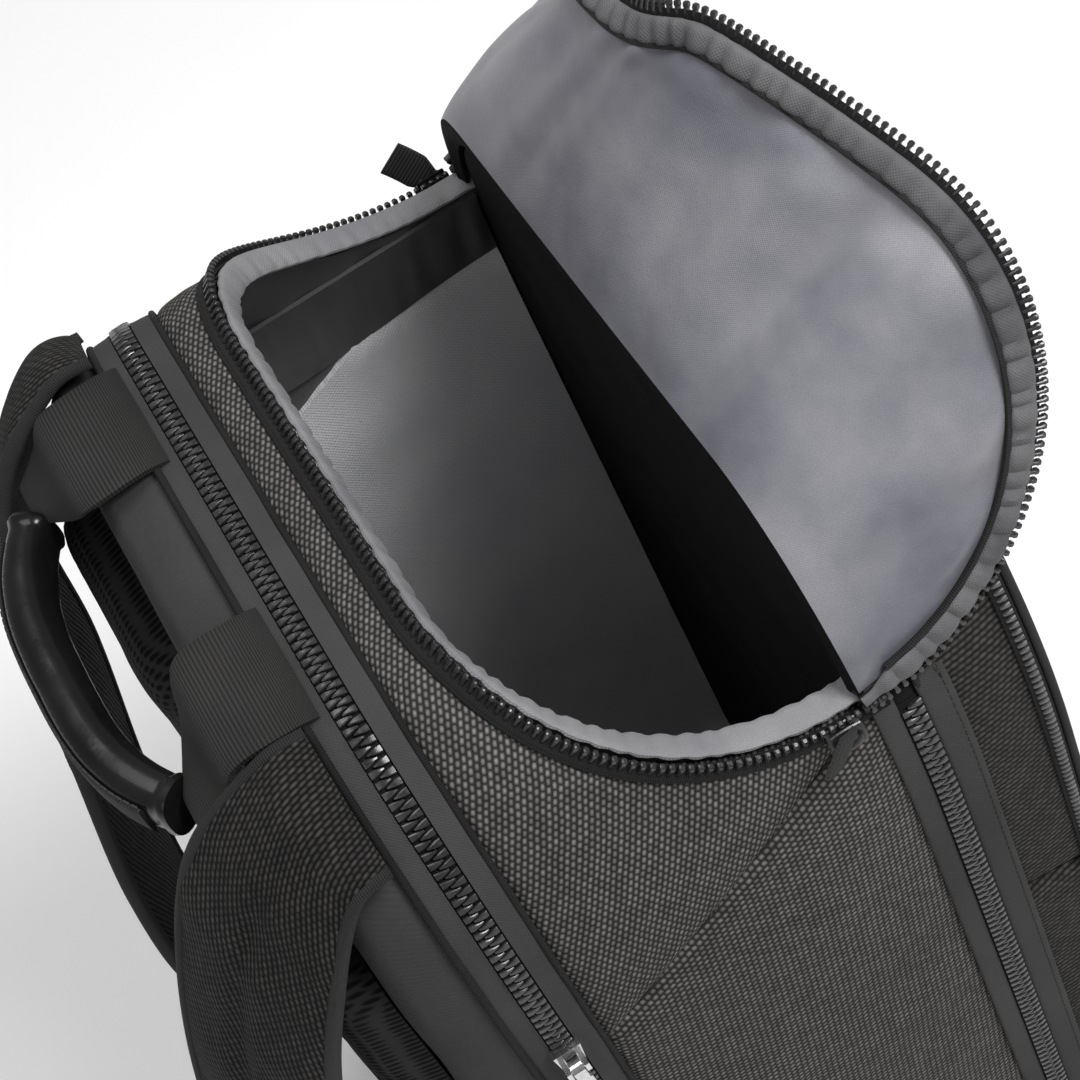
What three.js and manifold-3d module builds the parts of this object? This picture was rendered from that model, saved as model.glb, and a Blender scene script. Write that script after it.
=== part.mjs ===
// Camera backpack with an arched top, its top lid unzipped and thrown open to the front.
// Millimetres, +Z up. The front of the bag faces -Y, the wearer's side faces +Y, X runs across.
// The origin is on the flat base, under the main compartment.
import * as THREE from 'three';
import { mergeVertices } from 'three/addons/utils/BufferGeometryUtils.js';
import Module from 'manifold-3d';

const wasm = await Module();
wasm.setup();

// Outline of the bag seen from the front
const WIDTH = 300;
const HEIGHT = 480;
const TOP_FLAT = 168;
const SHOULDER_DROP = 127;
const BASE_RADIUS = 24;

// Depths, front to back
const FRONT_DOME = 9;
const FRONT_DOME_EDGE = 25;
const FRONT_DEPTH = 39.5;
const SIDE_ZIP_WIDTH = 10.3;
const MAIN_FRONT = 55.7;
const MAIN_DEPTH = 129.2;
const LAPTOP_DEPTH = 24.5;
const BACK_PANEL = 25;
const BACK_PAD = 22;
const PAD_INSET = 22;
const PAD_CHANNEL = 30;
const PAD_TOP = 410;
const PAD_BOTTOM = 50;

// Walls and clearances
const GAP = 0.3;
const MAIN_WALL = 8;
const INNER_WALL = 6.7;
const BAND_WALL = 2.5;
const GUSSET_WALL = 3;
const TRIM_LIFT = 0.9;

// Opening in the top and its lid
const RIM_ARC = 175;
const RIM_BACK = 55;
const RIM_CORNER_ARC = 111;
const RIM_CORNER_DEPTH = 99;
const BINDING_DEPTH = 10;
const BINDING_WALL = 2.5;
const RIM_GAP = 0.9;
const LID_LENGTH = 112;
const LID_WALL = 5;
const LID_TAPE = 8;
const LID_BINDING = 12;
const LID_BINDING_WALL = 2;
const LID_GAP = 1.5;
const LID_RISE = 3.2;
const LID_START = 3;
const HINGE_BACK = 47;
const HINGE_WALL = 3;

// Zips
const ZIP_WIDTH = 7.4;
const ZIP_HEIGHT = 2.8;
const LAPTOP_ZIP_PROUD = 1.8;
const SIDE_ZIP_END = 70;
const LAPTOP_ZIP_END = 150;
const FRONT_ZIP_END = 150;
const FRONT_ZIP_EDGE = 2;

// Handle
const HANDLE_OUTER = 85;
const HANDLE_INNER = 36;
const HANDLE_REACH = 62;
const HANDLE_DROP = 24;
const HANDLE_BOW = 16;
const HANDLE_BOW_POWER = 3;
const GRIP_HALF = 66;
const GRIP_WIDTH = 22;
const GRIP_THICKNESS = 17;
const GRIP_ROUNDING = 0.7;
const HANDLE_WEB = 3;

// Shoulder straps
const STRAP_WEB_WIDTH = 25;
const STRAP_WEB = 2;
const ADJUSTER_WIDTH = 34;
const ADJUSTER_LENGTH = 24;
const ADJUSTER_THICKNESS = 7;
const ANCHOR_HEIGHT = 40;

// Sliders and pulls
const SLIDER_WIDTH = 10;
const SLIDER_LENGTH = 13;
const SLIDER_BODY = 3.4;
const SLIDER_HEIGHT = 352;
const PIN_RADIUS = 1;
const EYE_CLEARANCE = 0.4;
const EYE_WALL = 1.3;
const LUG_WALL = 1.6;
const PULL_LENGTH = 30;
const PULL_WIDTH = 7;
const PULL_THICKNESS = 2;
const TAB_LENGTH = 16;
const TAB_WIDTH = 15;
const TAB_THICKNESS = 2.4;
const PULL_LEAN = 0.75;
const PULL_TURN = 0.8;

// The open lid: how far each line from the fold leans up and aside, in degrees, at even places along the fold
const LID_LEANS = [
  { lean: 7, splay: 4 },
  { lean: 31, splay: -7 },
  { lean: 52, splay: -10 },
  { lean: 55, splay: -31 },
  { lean: 33, splay: -10 },
];

// The left shoulder strap from its top seam down: both edges, in shares of the bag's half width,
// of the strap's reach behind the back seam, and of the bag's height, then its thickness and crown in
// shares of its full thickness.
// The right strap hangs closer to the back, by fall in shares of the reach.
const STRAP_REACH = 106;
const STRAP_THICKNESS = 10;
const STRAP_ROWS = [
  {
    innerX: 0.595, innerY: 0.01, innerZ: 1.012, outerX: 0.87, outerY: 0.01, outerZ: 0.957,
    thick: 0.5, crown: 0.3, fall: 0,
  },
  {
    innerX: 0.595, innerY: 0.17, innerZ: 1.01, outerX: 0.88, outerY: 0.14, outerZ: 0.95,
    thick: 0.7, crown: 0.7, fall: 0,
  },
  {
    innerX: 0.57, innerY: 0.46, innerZ: 0.962, outerX: 0.9, outerY: 0.31, outerZ: 0.895,
    thick: 1, crown: 0.3, fall: 0,
  },
  {
    innerX: 0.53, innerY: 0.7, innerZ: 0.85, outerX: 0.93, outerY: 0.52, outerZ: 0.8,
    thick: 1, crown: 0.3, fall: 0,
  },
  {
    innerX: 0.5, innerY: 0.93, innerZ: 0.69, outerX: 0.95, outerY: 0.7, outerZ: 0.65,
    thick: 1, crown: 0.3, fall: 0.09,
  },
  {
    innerX: 0.49, innerY: 1.1, innerZ: 0.5, outerX: 0.95, outerY: 0.86, outerZ: 0.48,
    thick: 1, crown: 0.3, fall: 0.09,
  },
  {
    innerX: 0.52, innerY: 1.06, innerZ: 0.33, outerX: 0.93, outerY: 0.9, outerZ: 0.325,
    thick: 1, crown: 0.3, fall: 0,
  },
  {
    innerX: 0.63, innerY: 0.9, innerZ: 0.215, outerX: 0.9, outerY: 0.83, outerZ: 0.213,
    thick: 0.7, crown: 0.1, fall: 0,
  },
];

// Steps of the curved outlines
const SHOULDER_STEPS = 9;
const CORNER_STEPS = 4;
const RIM_STEPS = 12;
const LID_MIDDLE_STEPS = 10;
const LID_ROWS = 6;
const GRIP_STEPS = 14;
const GRIP_SIDES = 10;
const STRAP_COLUMNS = 4;
const TABLE_STEPS = 96;
const STRAP_STEPS = 3;

// Places worked out from the depths
const yMainFront = -MAIN_FRONT;
const yLaptopFront = yMainFront + MAIN_DEPTH;
const yBackSeam = yLaptopFront + LAPTOP_DEPTH;
const yBackFace = yBackSeam + BACK_PANEL;
const yGussetBack = yMainFront - SIDE_ZIP_WIDTH;
const yGussetFront = yGussetBack - FRONT_DEPTH;
const yLaptopZip = yLaptopFront + LAPTOP_DEPTH / 2;
const shoulderWidth = (WIDTH - TOP_FLAT) / 2;

// Finishes
const finishes = {
  weave: { color: 0x3a3836, roughness: 0.85, metalness: 0 },
  smooth_fabric: { color: 0x3d3c3f, roughness: 0.8, metalness: 0 },
  lining: { color: 0x8f929a, roughness: 0.6, metalness: 0 },
  binding: { color: 0x9b9da3, roughness: 0.7, metalness: 0 },
  webbing: { color: 0x2b2a2a, roughness: 0.9, metalness: 0 },
  mesh: { color: 0x1d1d1f, roughness: 0.95, metalness: 0 },
  leather: { color: 0x111112, roughness: 0.3, metalness: 0 },
  zip: { color: 0x2f3033, roughness: 0.4, metalness: 0.2 },
  nickel: { color: 0xb9b6ae, roughness: 0.25, metalness: 1 },
  black_metal: { color: 0x1b1b1d, roughness: 0.3, metalness: 0.9 },
  plastic: { color: 0x141415, roughness: 0.5, metalness: 0 },
};

const group = new THREE.Group();

function add(name, geometry, finish) {
  const mesh = new THREE.Mesh(geometry, new THREE.MeshStandardMaterial(finishes[finish]));
  mesh.name = name;
  group.add(mesh);
  return mesh;
}

// A closed body from points and triangles, turned so that its faces point out
function body(points, triangles) {
  const geometry = new THREE.BufferGeometry();
  const signed = triangles.reduce((sum, [a, b, c]) => {
    const cross = new THREE.Vector3().crossVectors(points[b], points[c]);
    return sum + points[a].dot(cross);
  }, 0);
  const turned = signed < 0 ? triangles.map(([a, b, c]) => [a, c, b]) : triangles;
  const values = points.flatMap((p) => [p.x, p.y, p.z]);
  geometry.setAttribute('position', new THREE.Float32BufferAttribute(values, 3));
  geometry.setIndex(turned.flat());
  return geometry;
}

// Rings of equal size joined one after another, with flat ends or round into a loop
function loft(rings, looped = false) {
  const size = rings[0].length;
  const triangles = [];
  const spans = looped ? rings.length : rings.length - 1;
  for (let i = 0; i < spans; i += 1) {
    const next = ((i + 1) % rings.length) * size;
    for (let k = 0; k < size; k += 1) {
      const l = (k + 1) % size;
      triangles.push([i * size + k, i * size + l, next + l], [i * size + k, next + l, next + k]);
    }
  }
  if (!looped) {
    const last = (rings.length - 1) * size;
    for (let k = 1; k < size - 1; k += 1) {
      triangles.push([0, k + 1, k], [last, last + k, last + k + 1]);
    }
  }
  return body(rings.flat(), triangles);
}

// A plate between two layers of a grid; at(i, j, layer) gives each corner
function slab(columns, rows, at) {
  const points = [];
  const index = (i, j, layer) => (layer * (columns + 1) + i) * (rows + 1) + j;
  for (let layer = 0; layer < 2; layer += 1) {
    for (let i = 0; i <= columns; i += 1) {
      for (let j = 0; j <= rows; j += 1) points.push(at(i, j, layer));
    }
  }
  const triangles = [];
  const quad = (a, b, c, d) => triangles.push([a, b, c], [a, c, d]);
  for (let i = 0; i < columns; i += 1) {
    for (let j = 0; j < rows; j += 1) {
      quad(index(i, j, 0), index(i, j + 1, 0), index(i + 1, j + 1, 0), index(i + 1, j, 0));
      quad(index(i, j, 1), index(i + 1, j, 1), index(i + 1, j + 1, 1), index(i, j + 1, 1));
    }
    quad(index(i, 0, 0), index(i + 1, 0, 0), index(i + 1, 0, 1), index(i, 0, 1));
    quad(index(i, rows, 0), index(i, rows, 1), index(i + 1, rows, 1), index(i + 1, rows, 0));
  }
  for (let j = 0; j < rows; j += 1) {
    quad(index(0, j, 0), index(0, j, 1), index(0, j + 1, 1), index(0, j + 1, 0));
    quad(index(columns, j, 0), index(columns, j + 1, 0), index(columns, j + 1, 1), index(columns, j, 1));
  }
  return body(points, triangles);
}

// Joining and cutting closed bodies
function toManifold(geometry) {
  const bare = geometry.clone();
  bare.deleteAttribute('normal');
  bare.deleteAttribute('uv');
  const merged = mergeVertices(bare, 1e-4);
  const mesh = new wasm.Mesh({
    numProp: 3,
    vertProperties: new Float32Array(merged.attributes.position.array),
    triVerts: new Uint32Array(merged.index.array),
  });
  return new wasm.Manifold(mesh);
}

function fromManifold(solid) {
  const mesh = solid.getMesh();
  const geometry = new THREE.BufferGeometry();
  geometry.setAttribute('position', new THREE.Float32BufferAttribute(mesh.vertProperties, 3));
  geometry.setIndex(Array.from(mesh.triVerts));
  return geometry;
}

function join(...parts) {
  return fromManifold(parts.map(toManifold).reduce((sum, part) => sum.add(part)));
}

function cut(from, tool) {
  return fromManifold(toManifold(from).subtract(toManifold(tool)));
}

// The outline by its arc length from the middle of the top, positive towards +X
const shoulderTable = [{ turn: 0, arc: 0 }];
for (let i = 1, arc = 0; i <= TABLE_STEPS; i += 1) {
  const step = Math.PI / 2 / TABLE_STEPS;
  const mid = (i - 0.5) * step;
  arc += Math.hypot(shoulderWidth * Math.cos(mid), SHOULDER_DROP * Math.sin(mid)) * step;
  shoulderTable.push({ turn: i * step, arc });
}
const shoulderArc = shoulderTable.at(-1).arc;
const arcFlat = TOP_FLAT / 2;
const arcShoulder = arcFlat + shoulderArc;
const arcSide = arcShoulder + HEIGHT - SHOULDER_DROP - BASE_RADIUS;
const arcCorner = arcSide + BASE_RADIUS * Math.PI / 2;
const arcHalf = arcCorner + WIDTH / 2 - BASE_RADIUS;

function shoulderTurn(arc) {
  const i = Math.max(1, shoulderTable.findIndex((row) => row.arc >= arc));
  const low = shoulderTable[i - 1];
  const high = shoulderTable[i];
  return low.turn + (high.turn - low.turn) * (arc - low.arc) / (high.arc - low.arc);
}

function outlinePoint(s) {
  const side = Math.sign(s) || 1;
  const arc = Math.min(Math.abs(s), arcHalf);
  if (arc <= arcFlat) return { x: side * arc, z: HEIGHT, nx: 0, nz: 1 };
  if (arc <= arcShoulder) {
    const turn = shoulderTurn(Math.min(arc - arcFlat, shoulderArc));
    const length = Math.hypot(Math.sin(turn) / shoulderWidth, Math.cos(turn) / SHOULDER_DROP);
    return {
      x: side * (arcFlat + shoulderWidth * Math.sin(turn)),
      z: HEIGHT - SHOULDER_DROP * (1 - Math.cos(turn)),
      nx: side * Math.sin(turn) / shoulderWidth / length,
      nz: Math.cos(turn) / SHOULDER_DROP / length,
    };
  }
  if (arc <= arcSide) {
    return { x: side * WIDTH / 2, z: HEIGHT - SHOULDER_DROP - (arc - arcShoulder), nx: side, nz: 0 };
  }
  if (arc <= arcCorner) {
    const turn = (arc - arcSide) / BASE_RADIUS;
    return {
      x: side * (WIDTH / 2 - BASE_RADIUS + BASE_RADIUS * Math.cos(turn)),
      z: BASE_RADIUS - BASE_RADIUS * Math.sin(turn),
      nx: side * Math.cos(turn),
      nz: -Math.sin(turn),
    };
  }
  return { x: side * (WIDTH / 2 - BASE_RADIUS - (arc - arcCorner)), z: 0, nx: 0, nz: -1 };
}

// A point of the outline at depth y, lifted off the surface by lift
function onBag(s, y, lift = 0) {
  const p = outlinePoint(s);
  return new THREE.Vector3(p.x + p.nx * lift, y, p.z + p.nz * lift);
}

function surfaceNormal(s) {
  const p = outlinePoint(s);
  return new THREE.Vector3(p.nx, 0, p.nz);
}

// Arc lengths that every piece on the outline shares, so that their facets lie parallel
const halfStations = [0, arcFlat];
for (let i = 1; i <= SHOULDER_STEPS; i += 1) halfStations.push(arcFlat + shoulderArc * i / SHOULDER_STEPS);
for (let i = 0; i <= CORNER_STEPS; i += 1) {
  halfStations.push(arcSide + (arcCorner - arcSide) * i / CORNER_STEPS);
}
const allStations = [...halfStations.slice(1).map((s) => -s).reverse(), ...halfStations];

function stationsBetween(from, to) {
  return [from, ...allStations.filter((s) => s > from + 0.5 && s < to - 0.5), to];
}

// A strip of rectangular section that follows the outline between two arc lengths
function strip(from, to, yLow, yHigh, liftLow, liftHigh) {
  return loft(stationsBetween(from, to).map((s) => [
    onBag(s, yLow, liftLow), onBag(s, yHigh, liftLow), onBag(s, yHigh, liftHigh), onBag(s, yLow, liftHigh),
  ]));
}

// The same strip where it runs under the base, from one side to the other
function lowerStrip(from, yLow, yHigh, liftLow, liftHigh) {
  const down = stationsBetween(from, arcCorner);
  const stations = [...down, ...down.map((s) => -s).reverse()];
  return loft(stations.map((s) => [
    onBag(s, yLow, liftLow), onBag(s, yHigh, liftLow), onBag(s, yHigh, liftHigh), onBag(s, yLow, liftHigh),
  ]));
}

// A closed ring round the whole outline
function ring(yLow, yHigh, wall) {
  return loft(allStations.map((s) => [
    onBag(s, yLow), onBag(s, yHigh), onBag(s, yHigh, -wall), onBag(s, yLow, -wall),
  ]), true);
}

// A plate of the outline's shape, through rows of depth and inset
function plate(rows) {
  return loft(rows.map(({ y, inset }) => allStations.map((s) => onBag(s, y, -inset))));
}

// Main compartment: padded walls with the top cut open
const rimCornerFront = RIM_BACK - RIM_CORNER_DEPTH;

function rimCorner(turn, side) {
  return {
    s: side * (RIM_ARC - RIM_CORNER_ARC + RIM_CORNER_ARC * Math.cos(turn)),
    y: rimCornerFront + RIM_CORNER_DEPTH * Math.sin(turn),
  };
}

const rimColumns = [];
for (let i = 0; i <= RIM_STEPS; i += 1) rimColumns.push(rimCorner(Math.PI / 2 * i / RIM_STEPS, -1));
rimColumns.push({ s: 0, y: RIM_BACK });
for (let i = RIM_STEPS; i >= 0; i -= 1) rimColumns.push(rimCorner(Math.PI / 2 * i / RIM_STEPS, 1));

function mainShell() {
  const walls = ring(yMainFront, yLaptopFront - GAP, MAIN_WALL);
  const reach = MAIN_WALL * 1.5;
  const opening = slab(rimColumns.length - 1, 1, (i, j, layer) => onBag(
    rimColumns[i].s,
    j === 0 ? yMainFront - reach : rimColumns[i].y,
    layer === 0 ? -reach : reach,
  ));
  return cut(walls, opening);
}

// Strip along a path of points with normals; each section corner is { out, up } off the path
function ribbonAlong(path, section) {
  return loft(path.map(({ point, normal, aside }) => section.map(({ out, up }) => point.clone()
    .addScaledVector(aside, out)
    .addScaledVector(normal, up))));
}

function withSides(path) {
  return path.map(({ point, normal }, i) => {
    const before = path[Math.max(0, i - 1)].point;
    const after = path[Math.min(path.length - 1, i + 1)].point;
    const along = after.clone().sub(before).normalize();
    return { point, normal, aside: new THREE.Vector3().crossVectors(normal, along).normalize() };
  });
}

// The rim from one end of the fold to the other, starting at depth y
function rimFrames(y) {
  const path = [{ s: -RIM_ARC, y }, ...rimColumns, { s: RIM_ARC, y }];
  return withSides(path.map((row) => ({ point: onBag(row.s, row.y), normal: surfaceNormal(row.s) })));
}

function rectangle(outLow, outHigh, upLow, upHigh) {
  return [
    { out: outLow, up: upLow }, { out: outHigh, up: upLow },
    { out: outHigh, up: upHigh }, { out: outLow, up: upHigh },
  ];
}

// A column of a table, drawn as a smooth curve through its rows and read at a share of its length
function smoothRow(rows, key, share) {
  const last = rows.length - 1;
  const spot = share * last;
  const i = Math.min(last - 1, Math.max(0, Math.floor(spot)));
  const t = spot - i;
  const [p0, p1, p2, p3] = [i - 1, i, i + 1, i + 2].map((k) => rows[Math.min(last, Math.max(0, k))][key]);
  const bend = (2 * p0 - 5 * p1 + 4 * p2 - p3) * t * t + (3 * p1 - p0 - 3 * p2 + p3) * t * t * t;
  return p1 + ((p2 - p0) * t + bend) / 2;
}

// The open lid, by place along the fold and distance from it
function leanAt(place) {
  const share = (place + 1) / 2;
  return {
    lean: THREE.MathUtils.degToRad(smoothRow(LID_LEANS, 'lean', share)),
    splay: THREE.MathUtils.degToRad(smoothRow(LID_LEANS, 'splay', share)),
  };
}

function lidPoint(s, q) {
  const { lean, splay } = leanAt(s / RIM_ARC);
  const along = new THREE.Vector3(
    Math.sin(splay), -Math.cos(lean) * Math.cos(splay), Math.sin(lean) * Math.cos(splay),
  );
  return onBag(s, -HINGE_BACK, LID_RISE).addScaledVector(along, q);
}

function lidNormal(s, q) {
  const across = lidPoint(s + 1, q).sub(lidPoint(s - 1, q));
  const away = lidPoint(s, q + 1).sub(lidPoint(s, q - 1));
  return across.cross(away).normalize();
}

function lidSurface(s, q, lift) {
  return lidPoint(s, q).addScaledVector(lidNormal(s, q), lift);
}

// The lid's edge follows the rim that it zips to; inset moves it in from the edge
function lidEdge(inset) {
  const half = RIM_ARC - inset;
  const length = LID_LENGTH - inset;
  const arc = RIM_CORNER_ARC - inset;
  const depth = RIM_CORNER_DEPTH - inset;
  const corner = (turn, side) => ({
    s: side * (half - arc + arc * Math.cos(turn)), q: length - depth + depth * Math.sin(turn),
  });
  const edge = [];
  for (let i = 0; i <= RIM_STEPS; i += 1) edge.push(corner(Math.PI / 2 * i / RIM_STEPS, -1));
  for (let i = 1; i < LID_MIDDLE_STEPS; i += 1) {
    edge.push({ s: (half - arc) * (2 * i / LID_MIDDLE_STEPS - 1), q: length });
  }
  for (let i = RIM_STEPS; i >= 0; i -= 1) edge.push(corner(Math.PI / 2 * i / RIM_STEPS, 1));
  return edge;
}

const panelEdge = lidEdge(LID_TAPE);

function lidPanel() {
  return slab(panelEdge.length - 1, LID_ROWS, (i, j, layer) => {
    const q = LID_START + (panelEdge[i].q - LID_START) * j / LID_ROWS;
    return lidSurface(panelEdge[i].s, q, (layer - 0.5) * LID_WALL);
  });
}

const wholeEdge = [{ s: -RIM_ARC, q: LID_START }, ...lidEdge(0), { s: RIM_ARC, q: LID_START }];
const lidFrames = withSides(wholeEdge.map(({ s, q }) => (
  { point: lidPoint(s, q), normal: lidNormal(s, q) }
)));

// Front compartment
function frontPanel() {
  return plate([
    { y: yGussetFront - GAP, inset: 0 },
    { y: yGussetFront - FRONT_DOME / 3, inset: 0 },
    { y: yGussetFront - FRONT_DOME * 2 / 3, inset: FRONT_DOME_EDGE / 4 },
    { y: yGussetFront - FRONT_DOME, inset: FRONT_DOME_EDGE },
  ]);
}

// Back panel and its two raised pads with a channel between them
function backPad(side) {
  const rows = [
    { y: yBackFace + GAP, inset: 0 },
    { y: yBackFace + BACK_PAD * 0.6, inset: 0 },
    { y: yBackFace + BACK_PAD, inset: BACK_PAD * 0.6 },
  ];
  const xs = [PAD_CHANNEL / 2, WIDTH / 2 - PAD_INSET];
  const radius = PAD_INSET;
  return loft(rows.map(({ y, inset }) => {
    const points = [];
    const centres = [
      { x: xs[1] - radius, z: PAD_TOP - radius, start: 0 },
      { x: xs[0] + radius, z: PAD_TOP - radius, start: 1 },
      { x: xs[0] + radius, z: PAD_BOTTOM + radius, start: 2 },
      { x: xs[1] - radius, z: PAD_BOTTOM + radius, start: 3 },
    ];
    centres.forEach(({ x, z, start }) => {
      for (let k = 0; k <= CORNER_STEPS; k += 1) {
        const turn = (start + k / CORNER_STEPS) * Math.PI / 2;
        const r = radius - inset;
        points.push(new THREE.Vector3(side * (x + r * Math.cos(turn)), y, z + r * Math.sin(turn)));
      }
    });
    return points;
  }));
}

// Carrying handle: two webbing ends and the leather grip between them
function handlePoint(share) {
  const x = GRIP_HALF * share;
  const reach = HANDLE_REACH - HANDLE_BOW * Math.abs(share) ** HANDLE_BOW_POWER;
  return new THREE.Vector3(x, yBackSeam + reach, HEIGHT - HANDLE_DROP);
}

function gripSection(share) {
  const point = handlePoint(share);
  const along = handlePoint(share + 0.01).sub(handlePoint(share - 0.01)).normalize();
  const up = new THREE.Vector3(0, 0, 1);
  const out = new THREE.Vector3().crossVectors(along, up).normalize();
  const rounded = (value) => Math.sign(value) * Math.abs(value) ** GRIP_ROUNDING;
  const section = [];
  for (let k = 0; k < GRIP_SIDES; k += 1) {
    const turn = k / GRIP_SIDES * Math.PI * 2;
    const across = rounded(Math.cos(turn)) * GRIP_THICKNESS / 2;
    const high = rounded(Math.sin(turn)) * GRIP_WIDTH / 2;
    section.push(point.clone().addScaledVector(out, across).addScaledVector(up, high));
  }
  return section;
}

function handleGrip() {
  const rings = [];
  for (let i = 0; i <= GRIP_STEPS; i += 1) rings.push(gripSection(-1 + 2 * i / GRIP_STEPS));
  return loft(rings);
}

function handleWeb(side) {
  const end = handlePoint(side);
  const seam = yBackSeam + GAP;
  const middle = (HANDLE_OUTER + HANDLE_INNER) / 2;
  const half = (HANDLE_OUTER - HANDLE_INNER) / 2;
  const tip = GRIP_HALF + GRIP_WIDTH * 0.4;
  const rows = [
    { x: middle, y: seam, z: HEIGHT + TRIM_LIFT, half },
    { x: middle, y: yBackFace - GAP, z: HEIGHT + TRIM_LIFT, half },
    { x: (middle + tip) / 2, y: end.y - GRIP_THICKNESS, z: HEIGHT - HANDLE_DROP * 0.4, half: half * 0.8 },
    { x: tip, y: end.y - GRIP_THICKNESS / 8, z: end.z + HANDLE_WEB, half: GRIP_WIDTH / 3 },
  ];
  return slab(rows.length - 1, 1, (i, j, layer) => {
    const row = rows[i];
    const across = (j * 2 - 1) * row.half;
    return new THREE.Vector3(side * (row.x + across), row.y, row.z + layer * HANDLE_WEB);
  });
}

// Shoulder straps
function strapRow(share, side = -1) {
  const fall = side > 0 ? smoothRow(STRAP_ROWS, 'fall', share) : 0;
  const place = (x, y, z) => new THREE.Vector3(
    -WIDTH / 2 * smoothRow(STRAP_ROWS, x, share),
    yBackSeam + STRAP_REACH * (smoothRow(STRAP_ROWS, y, share) - fall),
    HEIGHT * smoothRow(STRAP_ROWS, z, share),
  );
  return {
    inner: place('innerX', 'innerY', 'innerZ'),
    outer: place('outerX', 'outerY', 'outerZ'),
    thick: STRAP_THICKNESS * smoothRow(STRAP_ROWS, 'thick', share),
    crown: STRAP_THICKNESS * smoothRow(STRAP_ROWS, 'crown', share),
  };
}

function mirrored(point, side) {
  return new THREE.Vector3(-side * point.x, point.y, point.z);
}

function strap(side) {
  const count = (STRAP_ROWS.length - 1) * STRAP_STEPS;
  const rings = [];
  for (let i = 0; i <= count; i += 1) {
    const here = strapRow(i / count, side);
    const before = strapRow(Math.max(0, i - 0.5) / count, side);
    const after = strapRow(Math.min(count, i + 0.5) / count, side);
    const width = here.outer.clone().sub(here.inner);
    const along = after.inner.clone().add(after.outer).sub(before.inner).sub(before.outer).normalize();
    const normal = new THREE.Vector3().crossVectors(along, width).normalize();
    const front = [];
    const back = [];
    for (let k = 0; k <= STRAP_COLUMNS; k += 1) {
      const share = k / STRAP_COLUMNS;
      const bulge = here.crown * (1 - (2 * share - 1) ** 2);
      const half = here.thick / 2 * (k === 0 || k === STRAP_COLUMNS ? 0.5 : 1);
      const middle = here.inner.clone().addScaledVector(width, share).addScaledVector(normal, bulge);
      front.push(mirrored(middle.clone().addScaledVector(normal, half), side));
      back.unshift(mirrored(middle.clone().addScaledVector(normal, -half), side));
    }
    rings.push([...front, ...back]);
  }
  return loft(rings);
}

// Frame at the strap's lower end: where it ends and which way it heads
const strapEnd = strapRow(1);
const strapEndMiddle = strapEnd.inner.clone().add(strapEnd.outer).multiplyScalar(0.5);
const anchorMiddle = WIDTH / 2 - BASE_RADIUS;
const anchorReach = yBackFace + BACK_PAD;
const anchorTop = new THREE.Vector3(-anchorMiddle, anchorReach, ANCHOR_HEIGHT + STRAP_WEB_WIDTH / 2);
const webAlong = anchorTop.clone().sub(strapEndMiddle).normalize();
const webAcross = new THREE.Vector3(1, 0, 0).addScaledVector(webAlong, -webAlong.x).normalize();
const webNormal = new THREE.Vector3().crossVectors(webAlong, webAcross).normalize();

function lowerPiece(side, from, to, width, low, high) {
  const ringAt = (distance) => [[-1, low], [1, low], [1, high], [-1, high]].map(([across, lift]) => mirrored(
    strapEndMiddle.clone().addScaledVector(webAlong, distance)
      .addScaledVector(webAcross, across * width / 2).addScaledVector(webNormal, lift),
    side,
  ));
  return loft([ringAt(from), ringAt(to)]);
}

const webLength = anchorTop.distanceTo(strapEndMiddle);
const adjusterStart = STRAP_THICKNESS * 0.75;
const adjusterEnd = adjusterStart + ADJUSTER_LENGTH;

function strapAdjuster(side) {
  const half = ADJUSTER_THICKNESS / 2;
  return lowerPiece(side, adjusterStart, adjusterEnd, ADJUSTER_WIDTH, -half, half);
}

function strapWeb(side) {
  const half = STRAP_WEB / 2;
  return lowerPiece(side, adjusterEnd + GAP, webLength - GAP, STRAP_WEB_WIDTH, -half, half);
}

function strapAnchor(side) {
  const rows = [
    { y: yBackFace + GAP, half: STRAP_WEB_WIDTH * 0.9, z: ANCHOR_HEIGHT - STRAP_WEB_WIDTH / 2 },
    { y: anchorReach, half: STRAP_WEB_WIDTH * 0.45, z: ANCHOR_HEIGHT + STRAP_WEB_WIDTH / 3 },
  ];
  return slab(1, 1, (i, j, layer) => new THREE.Vector3(
    side * (anchorMiddle - rows[i].half * (j * 2 - 1)), rows[i].y, rows[i].z + layer * STRAP_WEB,
  ));
}

// Metal parts, each drawn flat with its length along +Y and its height along +Z, then set on the bag
function setOn(geometry, point, along, normal) {
  const side = new THREE.Vector3().crossVectors(along, normal).normalize();
  const up = new THREE.Vector3().crossVectors(side, along).normalize();
  geometry.applyMatrix4(new THREE.Matrix4().makeBasis(side, along, up).setPosition(point));
  return geometry;
}

function taperedBlock(widthStart, widthEnd, length, height) {
  const shape = new THREE.Shape([
    new THREE.Vector2(-widthStart / 2, -length / 2), new THREE.Vector2(widthStart / 2, -length / 2),
    new THREE.Vector2(widthEnd / 2, length / 2), new THREE.Vector2(-widthEnd / 2, length / 2),
  ]);
  return new THREE.ExtrudeGeometry(shape, { depth: height, bevelEnabled: false });
}

const eyeInner = PIN_RADIUS + EYE_CLEARANCE;
const eyeOuter = eyeInner + EYE_WALL;
const axisHeight = SLIDER_BODY + eyeOuter + EYE_CLEARANCE;
const eyeHalf = PULL_WIDTH * 0.3;

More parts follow.
